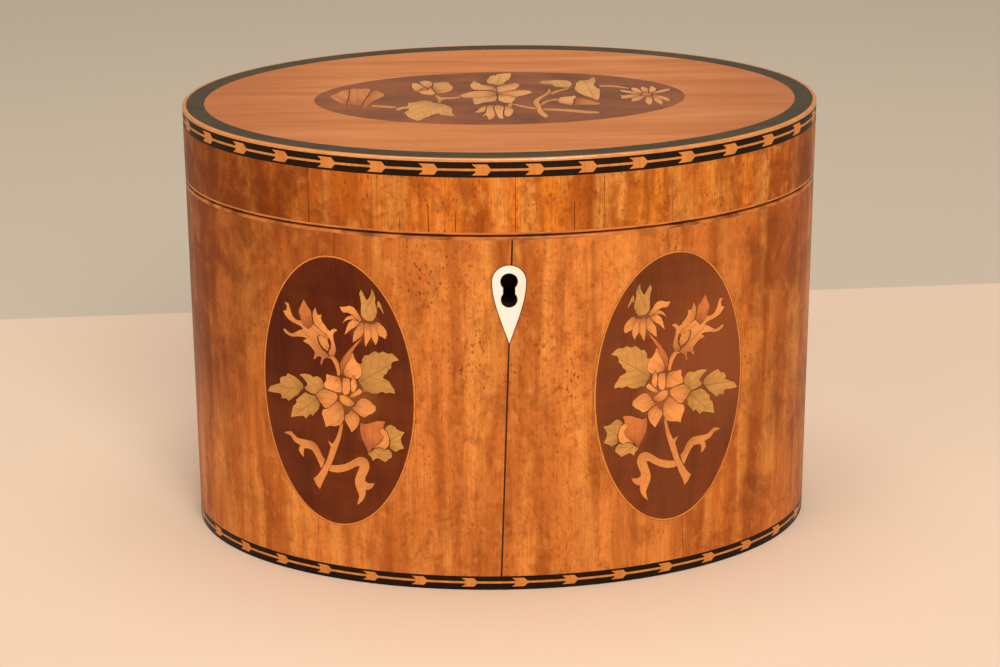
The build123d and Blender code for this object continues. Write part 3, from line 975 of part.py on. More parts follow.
def make_lid_sides():
    """The lid's side veneer with its joints and cracks, and its feather banding."""
    z_low = lid_bottom + lid_lower_edging_height
    shell = oval_ring(z_low, lid_band_bottom, 0, veneer_thick)
    cutters = lid_slots(z_low, lid_band_bottom)
    cutters.append(hinge_recess(lid_bottom - 1, lid_bottom + hinge_leaf_thick))
    save("lid_side_veneer", shell - cutters)
    first_feather = outline_length() / feather_count / 2
    sizes = (lid_banding_height, first_feather, lid_feather_length, lid_feather_height)
    ground, light = banding(lid_band_bottom, *sizes)
    save("lid_banding_ground", ground)
    save("lid_banding_feathers", Compound(light))


def make_lid_top():
    """The top: edge stringing, dark border, satinwood field and the oval of flowers."""
    edge = oval_ring(lid_band_top, lid_top, 0, lid_edge_width)
    outer_rim = edge.edges().group_by(Axis.Z)[-1].sort_by(SortBy.LENGTH)[-1]
    edge = fillet(outer_rim, lid_edge_round) - oval_disc(lid_band_top - 1, lid_board_top, veneer_thick)
    save("lid_edge_stringing", edge)
    field_inset = lid_edge_width + border_width
    save("lid_border", oval_ring(lid_board_top, lid_top, lid_edge_width, field_inset))
    patch = Ellipse(top_oval_length / 2, top_oval_depth / 2)
    field = Pos(0, 0, lid_board_top) * extrude(oval(field_inset) - patch, veneer_thick)
    save("lid_top_veneer", field)
    drawn, holes = inlay(top_spray)
    save("top_ground", Pos(0, 0, lid_board_top) * extrude(ground_round(patch, holes), veneer_thick))
    for wood in woods:
        save(f"top_spray_{wood}", Pos(0, 0, lid_board_top) * extrude(drawn[wood], veneer_thick))


def make_lid_lining():
    """The thin lining of the lid, under its board and round its wall."""
    inset = lid_wall_inset + foil_paste
    lining_top = lid_board_bottom - lining_thick
    save("lid_lining", oval_disc(lining_top, lid_board_bottom, inset))
    save("lid_lining_wall", oval_ring(lid_bottom + facing_thick, lining_top, inset, inset + lining_thick))


def make_link_plate():
    """The plate on the lid, with the hooked link that drops into the lock."""
    y = link_middle_y()
    half_plate, half_link = link_plate_width / 2, link_width / 2
    cutters, kept = link_screws()
    plate = block(
        (-half_plate, half_plate), (y - link_plate_depth / 2, y + link_plate_depth / 2),
        (lid_bottom, lid_bottom + link_plate_thick),
    )
    y_span = (y - link_thick / 2, y + link_thick / 2)
    plate += block((-half_link, half_link), y_span, (link_bottom, lid_bottom + link_plate_thick))
    plate -= block(
        (-half_link - 1, half_link - link_hook), (y - link_thick, y + link_thick),
        (nose_bottom - bolt_clearance, nose_top + bolt_clearance),
    )
    save("link_plate", plate - cutters)
    save("link_screws", Compound(kept))


def make_inner_cover():
    """The loose cover of the tea compartment: board, veneer with its border, and a turned knob."""
    inset = wall_inset + cover_clearance
    spigot = Cylinder(knob_spigot_radius, cover_top - ledge_top, align=(Align.CENTER, Align.CENTER, Align.MIN))
    spigot = Pos(0, 0, ledge_top) * spigot
    board_top = ledge_top + cover_thick
    save("cover_board", oval_disc(ledge_top, board_top, inset) - spigot)
    save("cover_border", oval_ring(board_top, cover_top, inset, inset + cover_border_width))
    save("cover_veneer", oval_disc(board_top, cover_top, inset + cover_border_width) - spigot)
    foot_top = (knob_foot_radius, knob_foot_height)
    waist = (knob_waist_radius, knob_height * 0.32)
    shoulder = (knob_radius * 0.96, knob_height * 0.62)
    widest = (knob_radius, knob_height * 0.72)
    crown = (knob_radius * 0.62, knob_height * 0.93)
    side = [
        Line((0, 0), (knob_foot_radius, 0)),
        Line((knob_foot_radius, 0), foot_top),
        Spline(foot_top, waist, shoulder),
        Spline(shoulder, widest, crown, (0, knob_height), tangents=((0, 1), (-1, 0))),
        Line((0, knob_height), (0, 0)),
    ]
    turned = revolve(Plane.XZ * make_face(side), Axis.Z)
    save("cover_knob", Pos(0, 0, cover_top) * turned + spigot)


make_carcass()
make_body_veneer()
make_foot_banding()
make_panels()
make_escutcheon()
make_lining()
make_lock()
make_hinge()
make_lid_carcass()
make_lid_sides()
make_lid_top()
make_lid_lining()
make_link_plate()
make_inner_cover()
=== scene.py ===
# Antique oval tea caddy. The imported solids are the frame; this script gives them wood, brass, bone and light.
import math
import random

import bmesh
import bpy
from mathutils import Matrix, Vector


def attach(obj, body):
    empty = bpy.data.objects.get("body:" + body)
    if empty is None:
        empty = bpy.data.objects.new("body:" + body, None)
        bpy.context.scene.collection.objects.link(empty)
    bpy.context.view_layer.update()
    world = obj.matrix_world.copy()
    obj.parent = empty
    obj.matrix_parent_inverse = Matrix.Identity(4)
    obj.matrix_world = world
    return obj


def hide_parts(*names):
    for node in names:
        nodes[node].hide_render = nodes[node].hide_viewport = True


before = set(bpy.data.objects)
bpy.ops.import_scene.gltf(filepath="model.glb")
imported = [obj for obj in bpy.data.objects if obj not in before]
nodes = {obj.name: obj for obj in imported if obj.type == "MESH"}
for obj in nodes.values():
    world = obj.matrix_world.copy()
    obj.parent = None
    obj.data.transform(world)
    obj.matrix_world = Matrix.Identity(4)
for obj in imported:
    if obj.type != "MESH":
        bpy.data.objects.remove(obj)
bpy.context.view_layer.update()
mm = 0.001
print("frame loaded,", len(nodes), "solids to dress")

# The caddy's own sizes in millimetres, as the solids have them
caddy = {
    "halfLength": 76.0,
    "halfDepth": 51.7,
    "bodyHeight": 87.4,
    "height": 105.7,
    "panelMiddle": 47.6,
    "leafCount": 10,
}


def linearColour(code):  # sRGB hex to linear, with alpha
    channels = [int(code[place:place + 2], 16) / 255 for place in (1, 3, 5)]
    return [c / 12.92 if c <= 0.04045 else ((c + 0.055) / 1.055) ** 2.4 for c in channels] + [1.0]


def addNode(tree, kind, inputs=None, out=0, stops=None, **settings):
    # inputs: socket to a number, a hex colour or another node's output. Gives back the output named by out.
    node = tree.nodes.new(kind)
    for name, value in settings.items():
        setattr(node, name, value)
    for name, value in (inputs or {}).items():
        if isinstance(value, bpy.types.NodeSocket):
            tree.links.new(value, node.inputs[name])
        else:
            node.inputs[name].default_value = linearColour(value) if isinstance(value, str) else value
    if stops:  # a colour ramp's positions, with a hex colour or a grey level at each
        elements = node.color_ramp.elements
        while len(elements) < len(stops):
            elements.new(1.0)
        for element, (position, colour) in zip(elements, stops):
            element.position = position
            element.color = linearColour(colour) if isinstance(colour, str) else (colour, colour, colour, 1)
    return node.outputs[out] if len(node.outputs) else node


def startMaterial(name):
    material = bpy.data.materials.new(name)
    material.use_nodes = True
    material.node_tree.nodes.clear()
    return material, material.node_tree


def endMaterial(tree, colour, height, shader):
    # colour and height are outputs, height in millimetres; shader holds the surface's constant sockets
    inputs = {**shader, "Base Color": colour}
    if height is not None:
        bump = {"Strength": 1.0, "Distance": mm, "Height": height}
        inputs["Normal"] = addNode(tree, "ShaderNodeBump", bump)
    surface = addNode(tree, "ShaderNodeBsdfPrincipled", inputs)
    addNode(tree, "ShaderNodeOutputMaterial", {"Surface": surface})


# How a material's layers are laid, in cells or as shares
laying = {
    "shift": (3.7, 1.3, 2.9),  # from one layer's pattern to the next one's, so that no two are alike
    "patchShift": 5.0,  # between a layer's pattern and its patches
    "spotCore": 0.5,  # of a spot's radius, inside which it is at its strongest
    "placeCore": 0.4,  # of the reach round a place, inside which the layer is at its strongest
}


def grainScale(axis, width, length):  # cells this many millimetres wide across the grain and long along it
    size = [width] * 3
    size["XYZ".index(axis)] = length
    return [1 / (value * mm) for value in size]


def layerMask(tree, place, axis, layer, turn):
    # 0 to 1 where the layer shows. A layer is soft noise, or spots that are one to a cell.
    mapped = addNode(tree, "ShaderNodeMapping", {
        "Vector": place,
        "Scale": grainScale(axis, *layer["cell"]),
        "Location": [turn * step for step in laying["shift"]],
    })
    if layer.get("spots"):
        share, size = layer["spots"]  # the share of cells with a spot, and its radius in cells
        far = addNode(tree, "ShaderNodeTexVoronoi", {"Vector": mapped, "Scale": 1.0}, out="Distance")
        chance = addNode(tree, "ShaderNodeSeparateColor", {"Color": far.node.outputs["Color"]})
        near = addNode(tree, "ShaderNodeMapRange", {
            0: far, 1: size * laying["spotCore"], 2: size, 3: 1.0, 4: 0.0,
        })
        there = addNode(tree, "ShaderNodeMath", {0: chance, 1: 1 - share}, operation="GREATER_THAN")
        mask = addNode(tree, "ShaderNodeMath", {0: near, 1: there}, operation="MULTIPLY")
    else:
        noise = addNode(tree, "ShaderNodeTexNoise", {
            "Vector": mapped, "Scale": 1.0, "Detail": layer.get("detail", 2.0),
            "Roughness": layer.get("rough", 0.5), "Distortion": layer.get("warp", 0.0),
        })
        low, high = layer["range"]
        mask = addNode(tree, "ShaderNodeMapRange", {0: noise, 1: low, 2: high},
                       interpolation_type="SMOOTHSTEP")
    limits = []
    if layer.get("around"):  # only near these places, seen from the front: x, height and reach in millimetres
        flat = addNode(tree, "ShaderNodeVectorMath", {0: place, 1: (1, 0, 1)}, operation="MULTIPLY")
        near = None
        for x, height, reach in layer["around"]:
            far = addNode(tree, "ShaderNodeVectorMath", {0: flat, 1: (x * mm, 0, height * mm)}, out="Value",
                          operation="DISTANCE")
            close = addNode(tree, "ShaderNodeMapRange", {
                0: far, 1: reach * laying["placeCore"] * mm, 2: reach * mm, 3: 1.0, 4: 0.0,
            })
            if near is None:
                near = close
            else:
                near = addNode(tree, "ShaderNodeMath", {0: near, 1: close}, operation="MAXIMUM")
        limits.append(near)
    if layer.get("level"):  # it comes in from the first height to the second, in millimetres
        start, full = layer["level"]
        upwards = addNode(tree, "ShaderNodeSeparateXYZ", {0: place}, out="Z")
        limits.append(addNode(tree, "ShaderNodeMapRange", {0: upwards, 1: start * mm, 2: full * mm},
                              interpolation_type="SMOOTHSTEP"))
    if layer.get("beyond"):  # only outside an oval that lies this many millimetres inside the outline
        shrink = [1 / ((caddy[name] - layer["beyond"]) * mm) for name in ("halfLength", "halfDepth")]
        flat = addNode(tree, "ShaderNodeVectorMath", {0: place, 1: (*shrink, 0)}, operation="MULTIPLY")
        reach = addNode(tree, "ShaderNodeVectorMath", {0: flat}, out="Value", operation="LENGTH")
        limits.append(addNode(tree, "ShaderNodeMath", {0: reach, 1: 1.0}, operation="GREATER_THAN"))
    if layer.get("patches"):  # only in patches of this width and length, between these levels of noise
        width, length, low, high = layer["patches"]
        mapped = addNode(tree, "ShaderNodeMapping", {
            "Vector": place,
            "Scale": grainScale(axis, width, length),
            "Location": [turn, laying["patchShift"] + turn, turn * 2],
        })
        noise = addNode(tree, "ShaderNodeTexNoise", {"Vector": mapped, "Scale": 1.0, "Detail": 1.0})
        limits.append(addNode(tree, "ShaderNodeMapRange", {0: noise, 1: low, 2: high},
                              interpolation_type="SMOOTHSTEP"))
    for limit in limits:
        mask = addNode(tree, "ShaderNodeMath", {0: mask, 1: limit}, operation="MULTIPLY")
    return mask


def layeredMaterial(name, look):
    # base colour, then layers painted over it in turn; each layer may also raise or sink the surface
    material, tree = startMaterial(name)
    axis = look.get("grain", "Z")
    if axis == "own":  # inlaid pieces carry their own grain direction as an attribute
        place = addNode(tree, "ShaderNodeAttribute", out="Vector", attribute_name="grainPlace")
        axis = "X"
    else:
        place = addNode(tree, "ShaderNodeTexCoord", out="Object")
    colour = addNode(tree, "ShaderNodeRGB")
    colour.default_value = linearColour(look["colour"])
    if look.get("leaves"):
        colour = leafTones(tree, place, colour, look["leaves"])
    height = None
    for number, layer in enumerate(look["layers"]):
        mask = layerMask(tree, place, axis, layer, number + look.get("turn", 0))
        if layer.get("colour"):
            amount = addNode(tree, "ShaderNodeMath", {0: mask, 1: layer["amount"]}, operation="MULTIPLY")
            colour = addNode(tree, "ShaderNodeMix", {0: amount, 6: colour, 7: layer["colour"]}, out=2,
                             data_type="RGBA")
        if layer.get("height"):
            step = addNode(tree, "ShaderNodeMath", {0: mask, 1: layer["height"]}, operation="MULTIPLY")
            height = step if height is None else addNode(tree, "ShaderNodeMath", {0: height, 1: step})
    if look.get("inlay"):
        colour, height = inlaidPiece(tree, place, colour, height, look["inlay"])
    endMaterial(tree, colour, height, look["shader"])
    return material


# The marks that every inlaid piece has, as shares of its length or half width, and the cut in millimetres
pieceMarks = {
    "edgeStart": 0.25,  # where the scorched edge begins
    "strokes": 1.7,  # engraved strokes in each half
    "strokeWidth": 0.10,  # of the way from one stroke to the next
    "veinWidth": 0.8,  # of the midrib's
    "lineFade": 0.25,  # how far the lines take to fade out
    "cutDepth": 0.02,
}


def inlaidPiece(tree, place, colour, height, inlay):
    # pieceShare runs 0 to 1 from a piece's foot to its tip, -1 to 1 across it, and holds a tone of its own
    share = addNode(tree, "ShaderNodeAttribute", out="Vector", attribute_name="pieceShare")
    share = addNode(tree, "ShaderNodeSeparateXYZ", {0: share}, out="X").node.outputs
    low, high = inlay["tones"]
    tone = addNode(tree, "ShaderNodeMapRange", {0: share["Z"], 3: low, 4: high}, clamp=False)
    colour = addNode(tree, "ShaderNodeMix", {0: 1.0, 6: colour, 7: tone}, out=2, data_type="RGBA",
                     blend_type="MULTIPLY")
    # scorched in hot sand: darker at its foot and along one edge
    foot = addNode(tree, "ShaderNodeMapRange", {
        0: share["X"], 1: 0.0, 2: inlay["footReach"], 3: inlay["foot"], 4: 0.0,
    })
    edge = addNode(tree, "ShaderNodeMapRange", {
        0: share["Y"], 1: pieceMarks["edgeStart"], 2: 1.0, 3: 0.0, 4: inlay["edge"],
    })
    shade = addNode(tree, "ShaderNodeMath", {0: foot, 1: edge}, operation="MAXIMUM")
    colour = addNode(tree, "ShaderNodeMix", {0: shade, 6: colour, 7: inlay["sand"]}, out=2, data_type="RGBA")
    if inlay.get("veins"):  # engraved: a midrib, and side veins this many millimetres apart
        pitch, thick = inlay["veins"]
        axes = addNode(tree, "ShaderNodeSeparateXYZ", {0: place}, out="X").node.outputs
        aside = addNode(tree, "ShaderNodeMath", {0: axes["Y"]}, operation="ABSOLUTE")
        rib = addNode(tree, "ShaderNodeMath", {0: aside, 1: thick / 2 * mm}, operation="LESS_THAN")
        slant = addNode(tree, "ShaderNodeMath", {0: axes["X"], 1: aside}, operation="SUBTRACT")
        slant = addNode(tree, "ShaderNodeMath", {0: slant, 1: 1 / (pitch * mm)}, operation="MULTIPLY")
        slant = addNode(tree, "ShaderNodeMath", {0: slant}, operation="FRACT")
        vein = addNode(tree, "ShaderNodeMath", {0: slant, 1: thick * pieceMarks["veinWidth"] / pitch},
                       operation="LESS_THAN")
        line = addNode(tree, "ShaderNodeMath", {0: rib, 1: vein}, operation="MAXIMUM")
    else:  # engraved strokes that run out from the foot
        fan = addNode(tree, "ShaderNodeMath", {0: share["Y"], 1: pieceMarks["strokes"]}, operation="MULTIPLY")
        fan = addNode(tree, "ShaderNodeMath", {0: fan}, operation="FRACT")
        line = addNode(tree, "ShaderNodeMath", {0: fan, 1: pieceMarks["strokeWidth"]}, operation="LESS_THAN")
    ends = addNode(tree, "ShaderNodeMapRange", {
        0: share["X"], 1: inlay["lineEnd"] - pieceMarks["lineFade"], 2: inlay["lineEnd"], 3: 1.0, 4: 0.0,
    })
    line = addNode(tree, "ShaderNodeMath", {0: line, 1: ends}, operation="MULTIPLY")
    ink = addNode(tree, "ShaderNodeMath", {0: line, 1: inlay["line"]}, operation="MULTIPLY")
    colour = addNode(tree, "ShaderNodeMix", {0: ink, 6: colour, 7: inlay["sand"]}, out=2, data_type="RGBA")
    cut = addNode(tree, "ShaderNodeMath", {0: line, 1: -pieceMarks["cutDepth"]}, operation="MULTIPLY")
    return colour, addNode(tree, "ShaderNodeMath", {0: height, 1: cut})


def outlinePoint(turn):  # a turn of 0 is the middle of the front, and it grows towards +X
    return caddy["halfLength"] * math.sin(turn), -caddy["halfDepth"] * math.cos(turn)


def outlineTable(steps=1440):  # the way round the outline at each turn
    points = [outlinePoint(2 * math.pi * step / steps) for step in range(steps + 1)]
    gone = [0.0]
    for before, after in zip(points, points[1:]):
        gone.append(gone[-1] + math.dist(before, after))
    return gone


outlineGone = outlineTable()
outlineLength = outlineGone[-1]


def outlineTurn(distance):  # the turn that lies a distance round the outline from the middle of the front
    after = max(1, next(step for step, gone in enumerate(outlineGone) if gone >= abs(distance)))
    low = outlineGone[after - 1]
    share = (abs(distance) - low) / (outlineGone[after] - low)
    return math.copysign(2 * math.pi * (after - 1 + share) / (len(outlineGone) - 1), distance)


def leafTones(tree, place, colour, leaves):
    # veneer leaves differ in tone. Their joints lean out towards the foot, so there the turn is drawn in.
    axes = addNode(tree, "ShaderNodeSeparateXYZ", {0: place}, out="X").node.outputs
    across = addNode(tree, "ShaderNodeMath", {0: axes["X"], 1: caddy["halfDepth"]}, operation="MULTIPLY")
    back = addNode(tree, "ShaderNodeMath", {0: axes["Y"], 1: -caddy["halfLength"]}, operation="MULTIPLY")
    turn = addNode(tree, "ShaderNodeMath", {0: across, 1: back}, operation="ARCTAN2")
    spread = addNode(tree, "ShaderNodeMapRange", {
        0: axes["Z"], 1: 0.0, 2: caddy["bodyHeight"] * mm, 3: 1 + leaves["lean"], 4: 1.0,
    })
    turn = addNode(tree, "ShaderNodeMath", {0: turn, 1: spread}, operation="DIVIDE")
    whole = addNode(tree, "ShaderNodeMapRange", {0: turn, 1: -math.pi, 2: math.pi})
    starts = [0.0] + [0.5 + outlineTurn(joint) / (2 * math.pi) for joint in leaves["joints"]]
    ramp = addNode(tree, "ShaderNodeValToRGB", {0: whole}, stops=list(zip(starts, leaves["tones"])))
    ramp.node.color_ramp.interpolation = "CONSTANT"
    return addNode(tree, "ShaderNodeMix", {0: 1.0, 6: colour, 7: ramp}, out=2, data_type="RGBA",
                   blend_type="MULTIPLY")


# Satinwood veneer, sawn and French-polished: orange-gold, cloudy and mottled, with fine upright grain,
# a few dark pores and drying cracks, under a thin soft gloss.
# Places are x, height and reach in millimetres; joints are millimetres round from the middle of the front.
polish = {
    "Roughness": 0.40, "IOR": 1.5, "Specular IOR Level": 0.25, "Coat Weight": 0.12, "Coat Roughness": 0.18,
}
sidePolish = {**polish, "Specular IOR Level": 0.08, "Coat Weight": 0.06, "Coat Roughness": 0.14}
figureSpots = ((-18.9, 78, 12), (-9, 58, 12), (-2.5, 54, 8), (11.5, 60, 10), (14, 52, 7), (-12, 73, 7))
keyhole = (0.8, 73, 14)
lidStrength = 1.3  # the lid's figure, and the painted shade at its ends, against the body's
satinwood = {
    "body": {
        "colour": "#E68D42",
        "grain": "Z",
        "leaves": {
            "lean": 0.17,  # how much further out the joints stand at the foot
            "joints": (-97, -75, -42.5, -0.4, 38.5, 75, 113, 150),
            "tones": ("#F0E6DC", "#F0E2D6", "#FAF0E4", "#FAF4F2", "#FFFCF8", "#F4E6D8", "#F0E2D4", "#FFFFFF",
                      "#F6EAE0"),
        },
        "layers": (
            # upright bands: broad and narrow brown, then gold
            {"cell": (11, 80), "range": (0.40, 0.64), "detail": 1.0, "warp": 0.3, "colour": "#9A440A",
             "amount": 0.48},
            {"cell": (3.8, 50), "range": (0.44, 0.66), "detail": 2.0, "warp": 0.3, "colour": "#8E3E08",
             "amount": 0.44},
            {"cell": (6, 60), "range": (0.48, 0.68), "detail": 1.0, "warp": 0.3, "colour": "#F6A650",
             "amount": 0.50},
            # mottle, from clouds down to speckle
            {"cell": (7, 10), "range": (0.46, 0.68), "detail": 5.0, "rough": 0.65, "warp": 0.8,
             "colour": "#843806", "amount": 0.38, "height": 0.010},
            {"cell": (2.2, 3.0), "range": (0.48, 0.68), "detail": 4.0, "rough": 0.7, "warp": 0.4,
             "colour": "#863C08", "amount": 0.42, "patches": (26, 26, 0.36, 0.56)},
            {"cell": (2.4, 4), "range": (0.54, 0.72), "detail": 3.0, "warp": 0.3, "colour": "#FBB056",
             "amount": 0.26},
            {"cell": (0.8, 1.3), "range": (0.48, 0.72), "detail": 3.0, "rough": 0.7, "colour": "#8A3E08",
             "amount": 0.30},
            # dark clouds at the two ends, partly figure and partly painted shade where the ends turn from the
            # light, and painted shade deepening the left end
            {"cell": (9, 13), "range": (0.36, 0.60), "detail": 5.0, "rough": 0.6, "warp": 0.8,
             "colour": "#723006", "amount": 0.62,
             "around": ((-74, 84, 34), (-76, 56, 24), (-60, 97, 26), (79, 92, 17), (74, 40, 20),
                        (64, 71, 15), (60, 80, 10), (58.6, 16, 7))},
            {"cell": (24, 24), "range": (0.10, 0.40), "colour": "#6E2E04", "amount": 0.42,
             "around": ((-80, 84, 54), (-80, 50, 30))},
            # fine upright grain, and small dark marks and pores in patches
            {"cell": (0.4, 9), "range": (0.35, 0.75), "detail": 3.0, "colour": "#843C0A", "amount": 0.26,
             "height": -0.004},
            {"cell": (0.6, 1.1), "range": (0.58, 0.68), "detail": 3.0, "rough": 0.7,
             "patches": (6, 9, 0.42, 0.58), "colour": "#74330A", "amount": 0.50, "height": -0.01},
            {"cell": (1.0, 1.8), "spots": (0.22, 0.30), "patches": (9, 13, 0.46, 0.58), "colour": "#6A2E08",
             "amount": 0.45, "height": -0.02},
            {"cell": (0.8, 1.4), "range": (0.55, 0.66), "detail": 3.0, "rough": 0.7, "colour": "#7A380E",
             "amount": 0.60, "patches": (2.6, 3.4, 0.36, 0.54), "around": figureSpots},
            {"cell": (0.9, 1.4), "spots": (0.50, 0.40), "patches": (2.2, 3.0, 0.40, 0.54),
             "colour": "#63290A", "amount": 0.70, "height": -0.03, "around": figureSpots},
            # short drying cracks, and the slow waves of an old surface
            {"cell": (1.2, 13), "spots": (0.18, 0.08), "patches": (12, 12, 0.50, 0.60), "colour": "#3A1806",
             "amount": 0.8, "height": -0.05},
            {"cell": (14, 18), "range": (0.35, 0.75), "height": 0.10},
        ),
        "shader": sidePolish,
    },
}
strongerLayers = [
    {**layer, "amount": layer.get("amount", 0) * lidStrength} for layer in satinwood["body"]["layers"]
]
satinwood["lid"] = {
    **satinwood["body"],
    "colour": "#E6882E",
    "turn": 11,
    "layers": (*strongerLayers, {  # finely cracked in the middle leaves
        "cell": (0.9, 2.8), "spots": (0.7, 0.24), "patches": (3, 4, 0.38, 0.52), "colour": "#5A240A",
        "amount": 0.8, "height": -0.04, "around": ((-13, 97, 14), (6, 98, 11), (16, 97, 11)),
    }),
    "leaves": {
        "lean": 0.0,
        "joints": (-90, -46.5, -29.8, 1.5, 21.7, 38.2, 75, 113, 150),
        "tones": ("#F2E6DA", "#FFF6EC", "#F4E2D2", "#F8ECE0", "#FFFAF0", "#FFFFFF", "#F8EEE0", "#FFFFFF",
                  "#F6EADC", "#FFFFFF"),
    },
}
satinwood["top"] = {  # plainer, with the grain along the long axis, and painted shade darkening the two ends
    "colour": "#D08248",
    "grain": "X",
    "layers": (
        {"cell": (5, 70), "range": (0.40, 0.70), "detail": 3.0, "colour": "#B56834", "amount": 0.55},
        {"cell": (9, 60), "range": (0.50, 0.72), "detail": 2.0, "colour": "#E2A268", "amount": 0.55},
        {"cell": (2.2, 40), "range": (0.56, 0.72), "detail": 2.0, "colour": "#9E5426", "amount": 0.35},
        {"cell": (0.6, 22), "range": (0.35, 0.75), "detail": 2.0, "colour": "#9A5528", "amount": 0.25,
         "height": -0.003},
        {"cell": (1.4, 3.0), "spots": (0.10, 0.20), "colour": "#7A4420", "amount": 0.5, "height": -0.02},
        {"cell": (7, 16), "spots": (0.12, 0.10), "colour": "#8A4A22", "amount": 0.45},
        # painted shade at the two ends of the top
        {"cell": (30, 60), "range": (0.10, 0.50), "colour": "#A2582A", "amount": 0.50,
         "around": ((-80, 105, 46), (80, 105, 46))},
        {"cell": (16, 30), "range": (0.35, 0.75), "height": 0.05},
    ),
    "shader": polish,
}

# Other woods of the caddy: base colour, the grain's axis, then streaks, each with its cell's width and
# length, colour and amount, and with more of a layer's keys where it needs them
everywhere = {"range": (0.0, 0.05)}  # the noise is always above this, so the layer has no gaps
plainWoods = {
    # dark stained ground of the front ovals: brown-black and close-grained, so the flowers stand out.
    # Darker in one patch, and paler where old glue fills the saw cuts between petals
    "stainedGround": ("#6B2F12", "Z", (
        (10, 12, "#521B05", 1.0, {"around": ((-50, 70, 30),), **everywhere}),
        (3, 26, "#431706", 0.4), (0.5, 9, "#7A3816", 0.2), (9, 14, "#74360F", 0.35), (14, 3, "#481B08", 0.35),
        (10, 12, "#9A5A2C", 0.6, {
            "around": ((-36.3, 46.5, 7.5), (-32.8, 64.5, 4.5), (-31.5, 38.5, 4)), **everywhere,
        }),
    )),
    # the right oval's ground: redder, and its stain has worn off towards the outer side
    "stainedGroundRight": ("#763C1E", "Z", (
        (3, 26, "#562810", 0.5), (0.5, 9, "#8E4C26", 0.2), (9, 14, "#8A4018", 0.5), (14, 3, "#5A2A12", 0.25),
        (10, 12, "#A0562E", 0.5, {"around": ((56, 56, 26),), **everywhere}),
        (10, 12, "#A8683A", 0.6, {
            "around": ((36.2, 45.8, 7.5), (31.4, 64.4, 4), (28.8, 37.5, 4)), **everywhere,
        }),
    )),
    # the lid's ground: the same stain, faded to a warm mid-brown and darkest in the middle
    "fadedGround": ("#844C2C", "X", (
        (4, 30, "#643A24", 0.5), (0.6, 12, "#9C6440", 0.25), (12, 16, "#9E5832", 0.6),
        (6, 10, "#583420", 0.6, {"around": ((6, caddy["height"], 32),)}),
    )),
    # boxwood stringing: pale and almost without figure, aged to orange under the polish
    "boxwood": ("#D98A3E", "X", ((2, 9, "#B0601E", 0.4), (0.4, 6, "#F0AC62", 0.3))),
    # the same stringing round the front ovals, let in flush and darker with wax
    "ovalBoxwood": ("#DC8438", "X", ((2, 9, "#B0601E", 0.4), (0.4, 6, "#F0A65A", 0.3))),
    # edgings sawn from satinwood, so that they match the veneer beside them, with painted shade of the seam,
    # dark in patches, where the two rims meet
    "edgingWood": ("#D07830", "X", (
        (3, 12, "#A24C14", 0.5), (0.4, 8, "#E89A50", 0.3), (3, 6, "#3A1606", 0.7, {"level": (88.4, 88.0)}),
    )),
    # boxwood feathers of the banding, set upright: warm, even and a little streaked
    "featherWood": ("#D4843A", "Z", ((2, 7, "#AE5E20", 0.4), (0.4, 5, "#EDA658", 0.3))),
    # ebony of the banding: nearly black, the gloss alone shows its surface
    "ebony": ("#1C0F07", "Z", ((2, 12, "#2E1A0C", 0.5), (0.4, 6, "#0C0603", 0.4))),
    # green-black stained border of the lid: worn to olive in places
    "borderWood": ("#453A26", "X", (
        (3, 14, "#5A4A2C", 0.6), (0.5, 5, "#2E2516", 0.4), (12, 20, "#39301E", 0.5),
    )),
    # pine of the base, planed and left bare: pale, with long brown streaks
    "pine": ("#B5885A", "X", ((2.2, 60, "#94673C", 0.6), (0.6, 30, "#CBA172", 0.3))),
    # the same pine where the veneer is glued down: it shows only in the joints, black with old glue and dust
    # and with painted shade of the narrow joints, and in the keyhole, painted black as the shade inside it
    "gluedPine": ("#B5885A", "X", (
        (2.2, 60, "#94673C", 0.6), (0.6, 30, "#CBA172", 0.3),
        (1, 1, "#241006", 0.9, {"beyond": 1.0, "range": (0.10, 0.30)}),
        (1, 1, "#120803", 0.95, {"beyond": 7.9, "around": (keyhole,), **everywhere}),
    )),
    # mahogany of the rims' facings and of the inner cover, planed and oiled: red-brown with short dark pores
    "mahogany": ("#7A3F24", "X", ((3, 30, "#5E2C16", 0.6), (0.4, 6, "#3E1B0D", 0.4))),
    # rosewood of the cover's border and turned knob: dark brown with near-black streaks
    "rosewood": ("#4A2618", "X", ((2, 30, "#27100A", 0.7), (0.5, 12, "#6A3A22", 0.3))),
    # marquetry woods, each piece sawn with its own grain direction: orange-gold petals and stems, browner
    # shaded petals, olive-gold leaves
    "flowerWood": ("#EC984E", "own", ((1.6, 9, "#D67C36", 0.5), (0.3, 5, "#F8B876", 0.3))),
    "shadedWood": ("#D27638", "own", ((1.6, 9, "#B85C24", 0.5), (0.3, 5, "#E29452", 0.3))),
    "leafWood": ("#CE9148", "own", ((1.6, 7, "#B47A36", 0.5), (0.3, 4, "#E2AC60", 0.3))),
    "stemWood": ("#E49048", "own", ((1.4, 12, "#CE7632", 0.5), (0.3, 6, "#F2AA64", 0.3))),
    # the same woods on the lid, which has stood in more light: duller and less red
    "fadedFlowerWood": ("#DC995A", "own", ((1.6, 9, "#C28048", 0.5), (0.3, 5, "#E6B880", 0.3))),
    "fadedShadedWood": ("#CE8046", "own", ((1.6, 9, "#AE5E2E", 0.5), (0.3, 5, "#D8945A", 0.3))),
    "fadedLeafWood": ("#DA9E5A", "own", ((1.6, 7, "#BC8346", 0.5), (0.3, 4, "#E6B470", 0.3))),
    "fadedStemWood": ("#CD8E50", "own", ((1.4, 12, "#B4723A", 0.5), (0.3, 6, "#DCA66C", 0.3))),
}
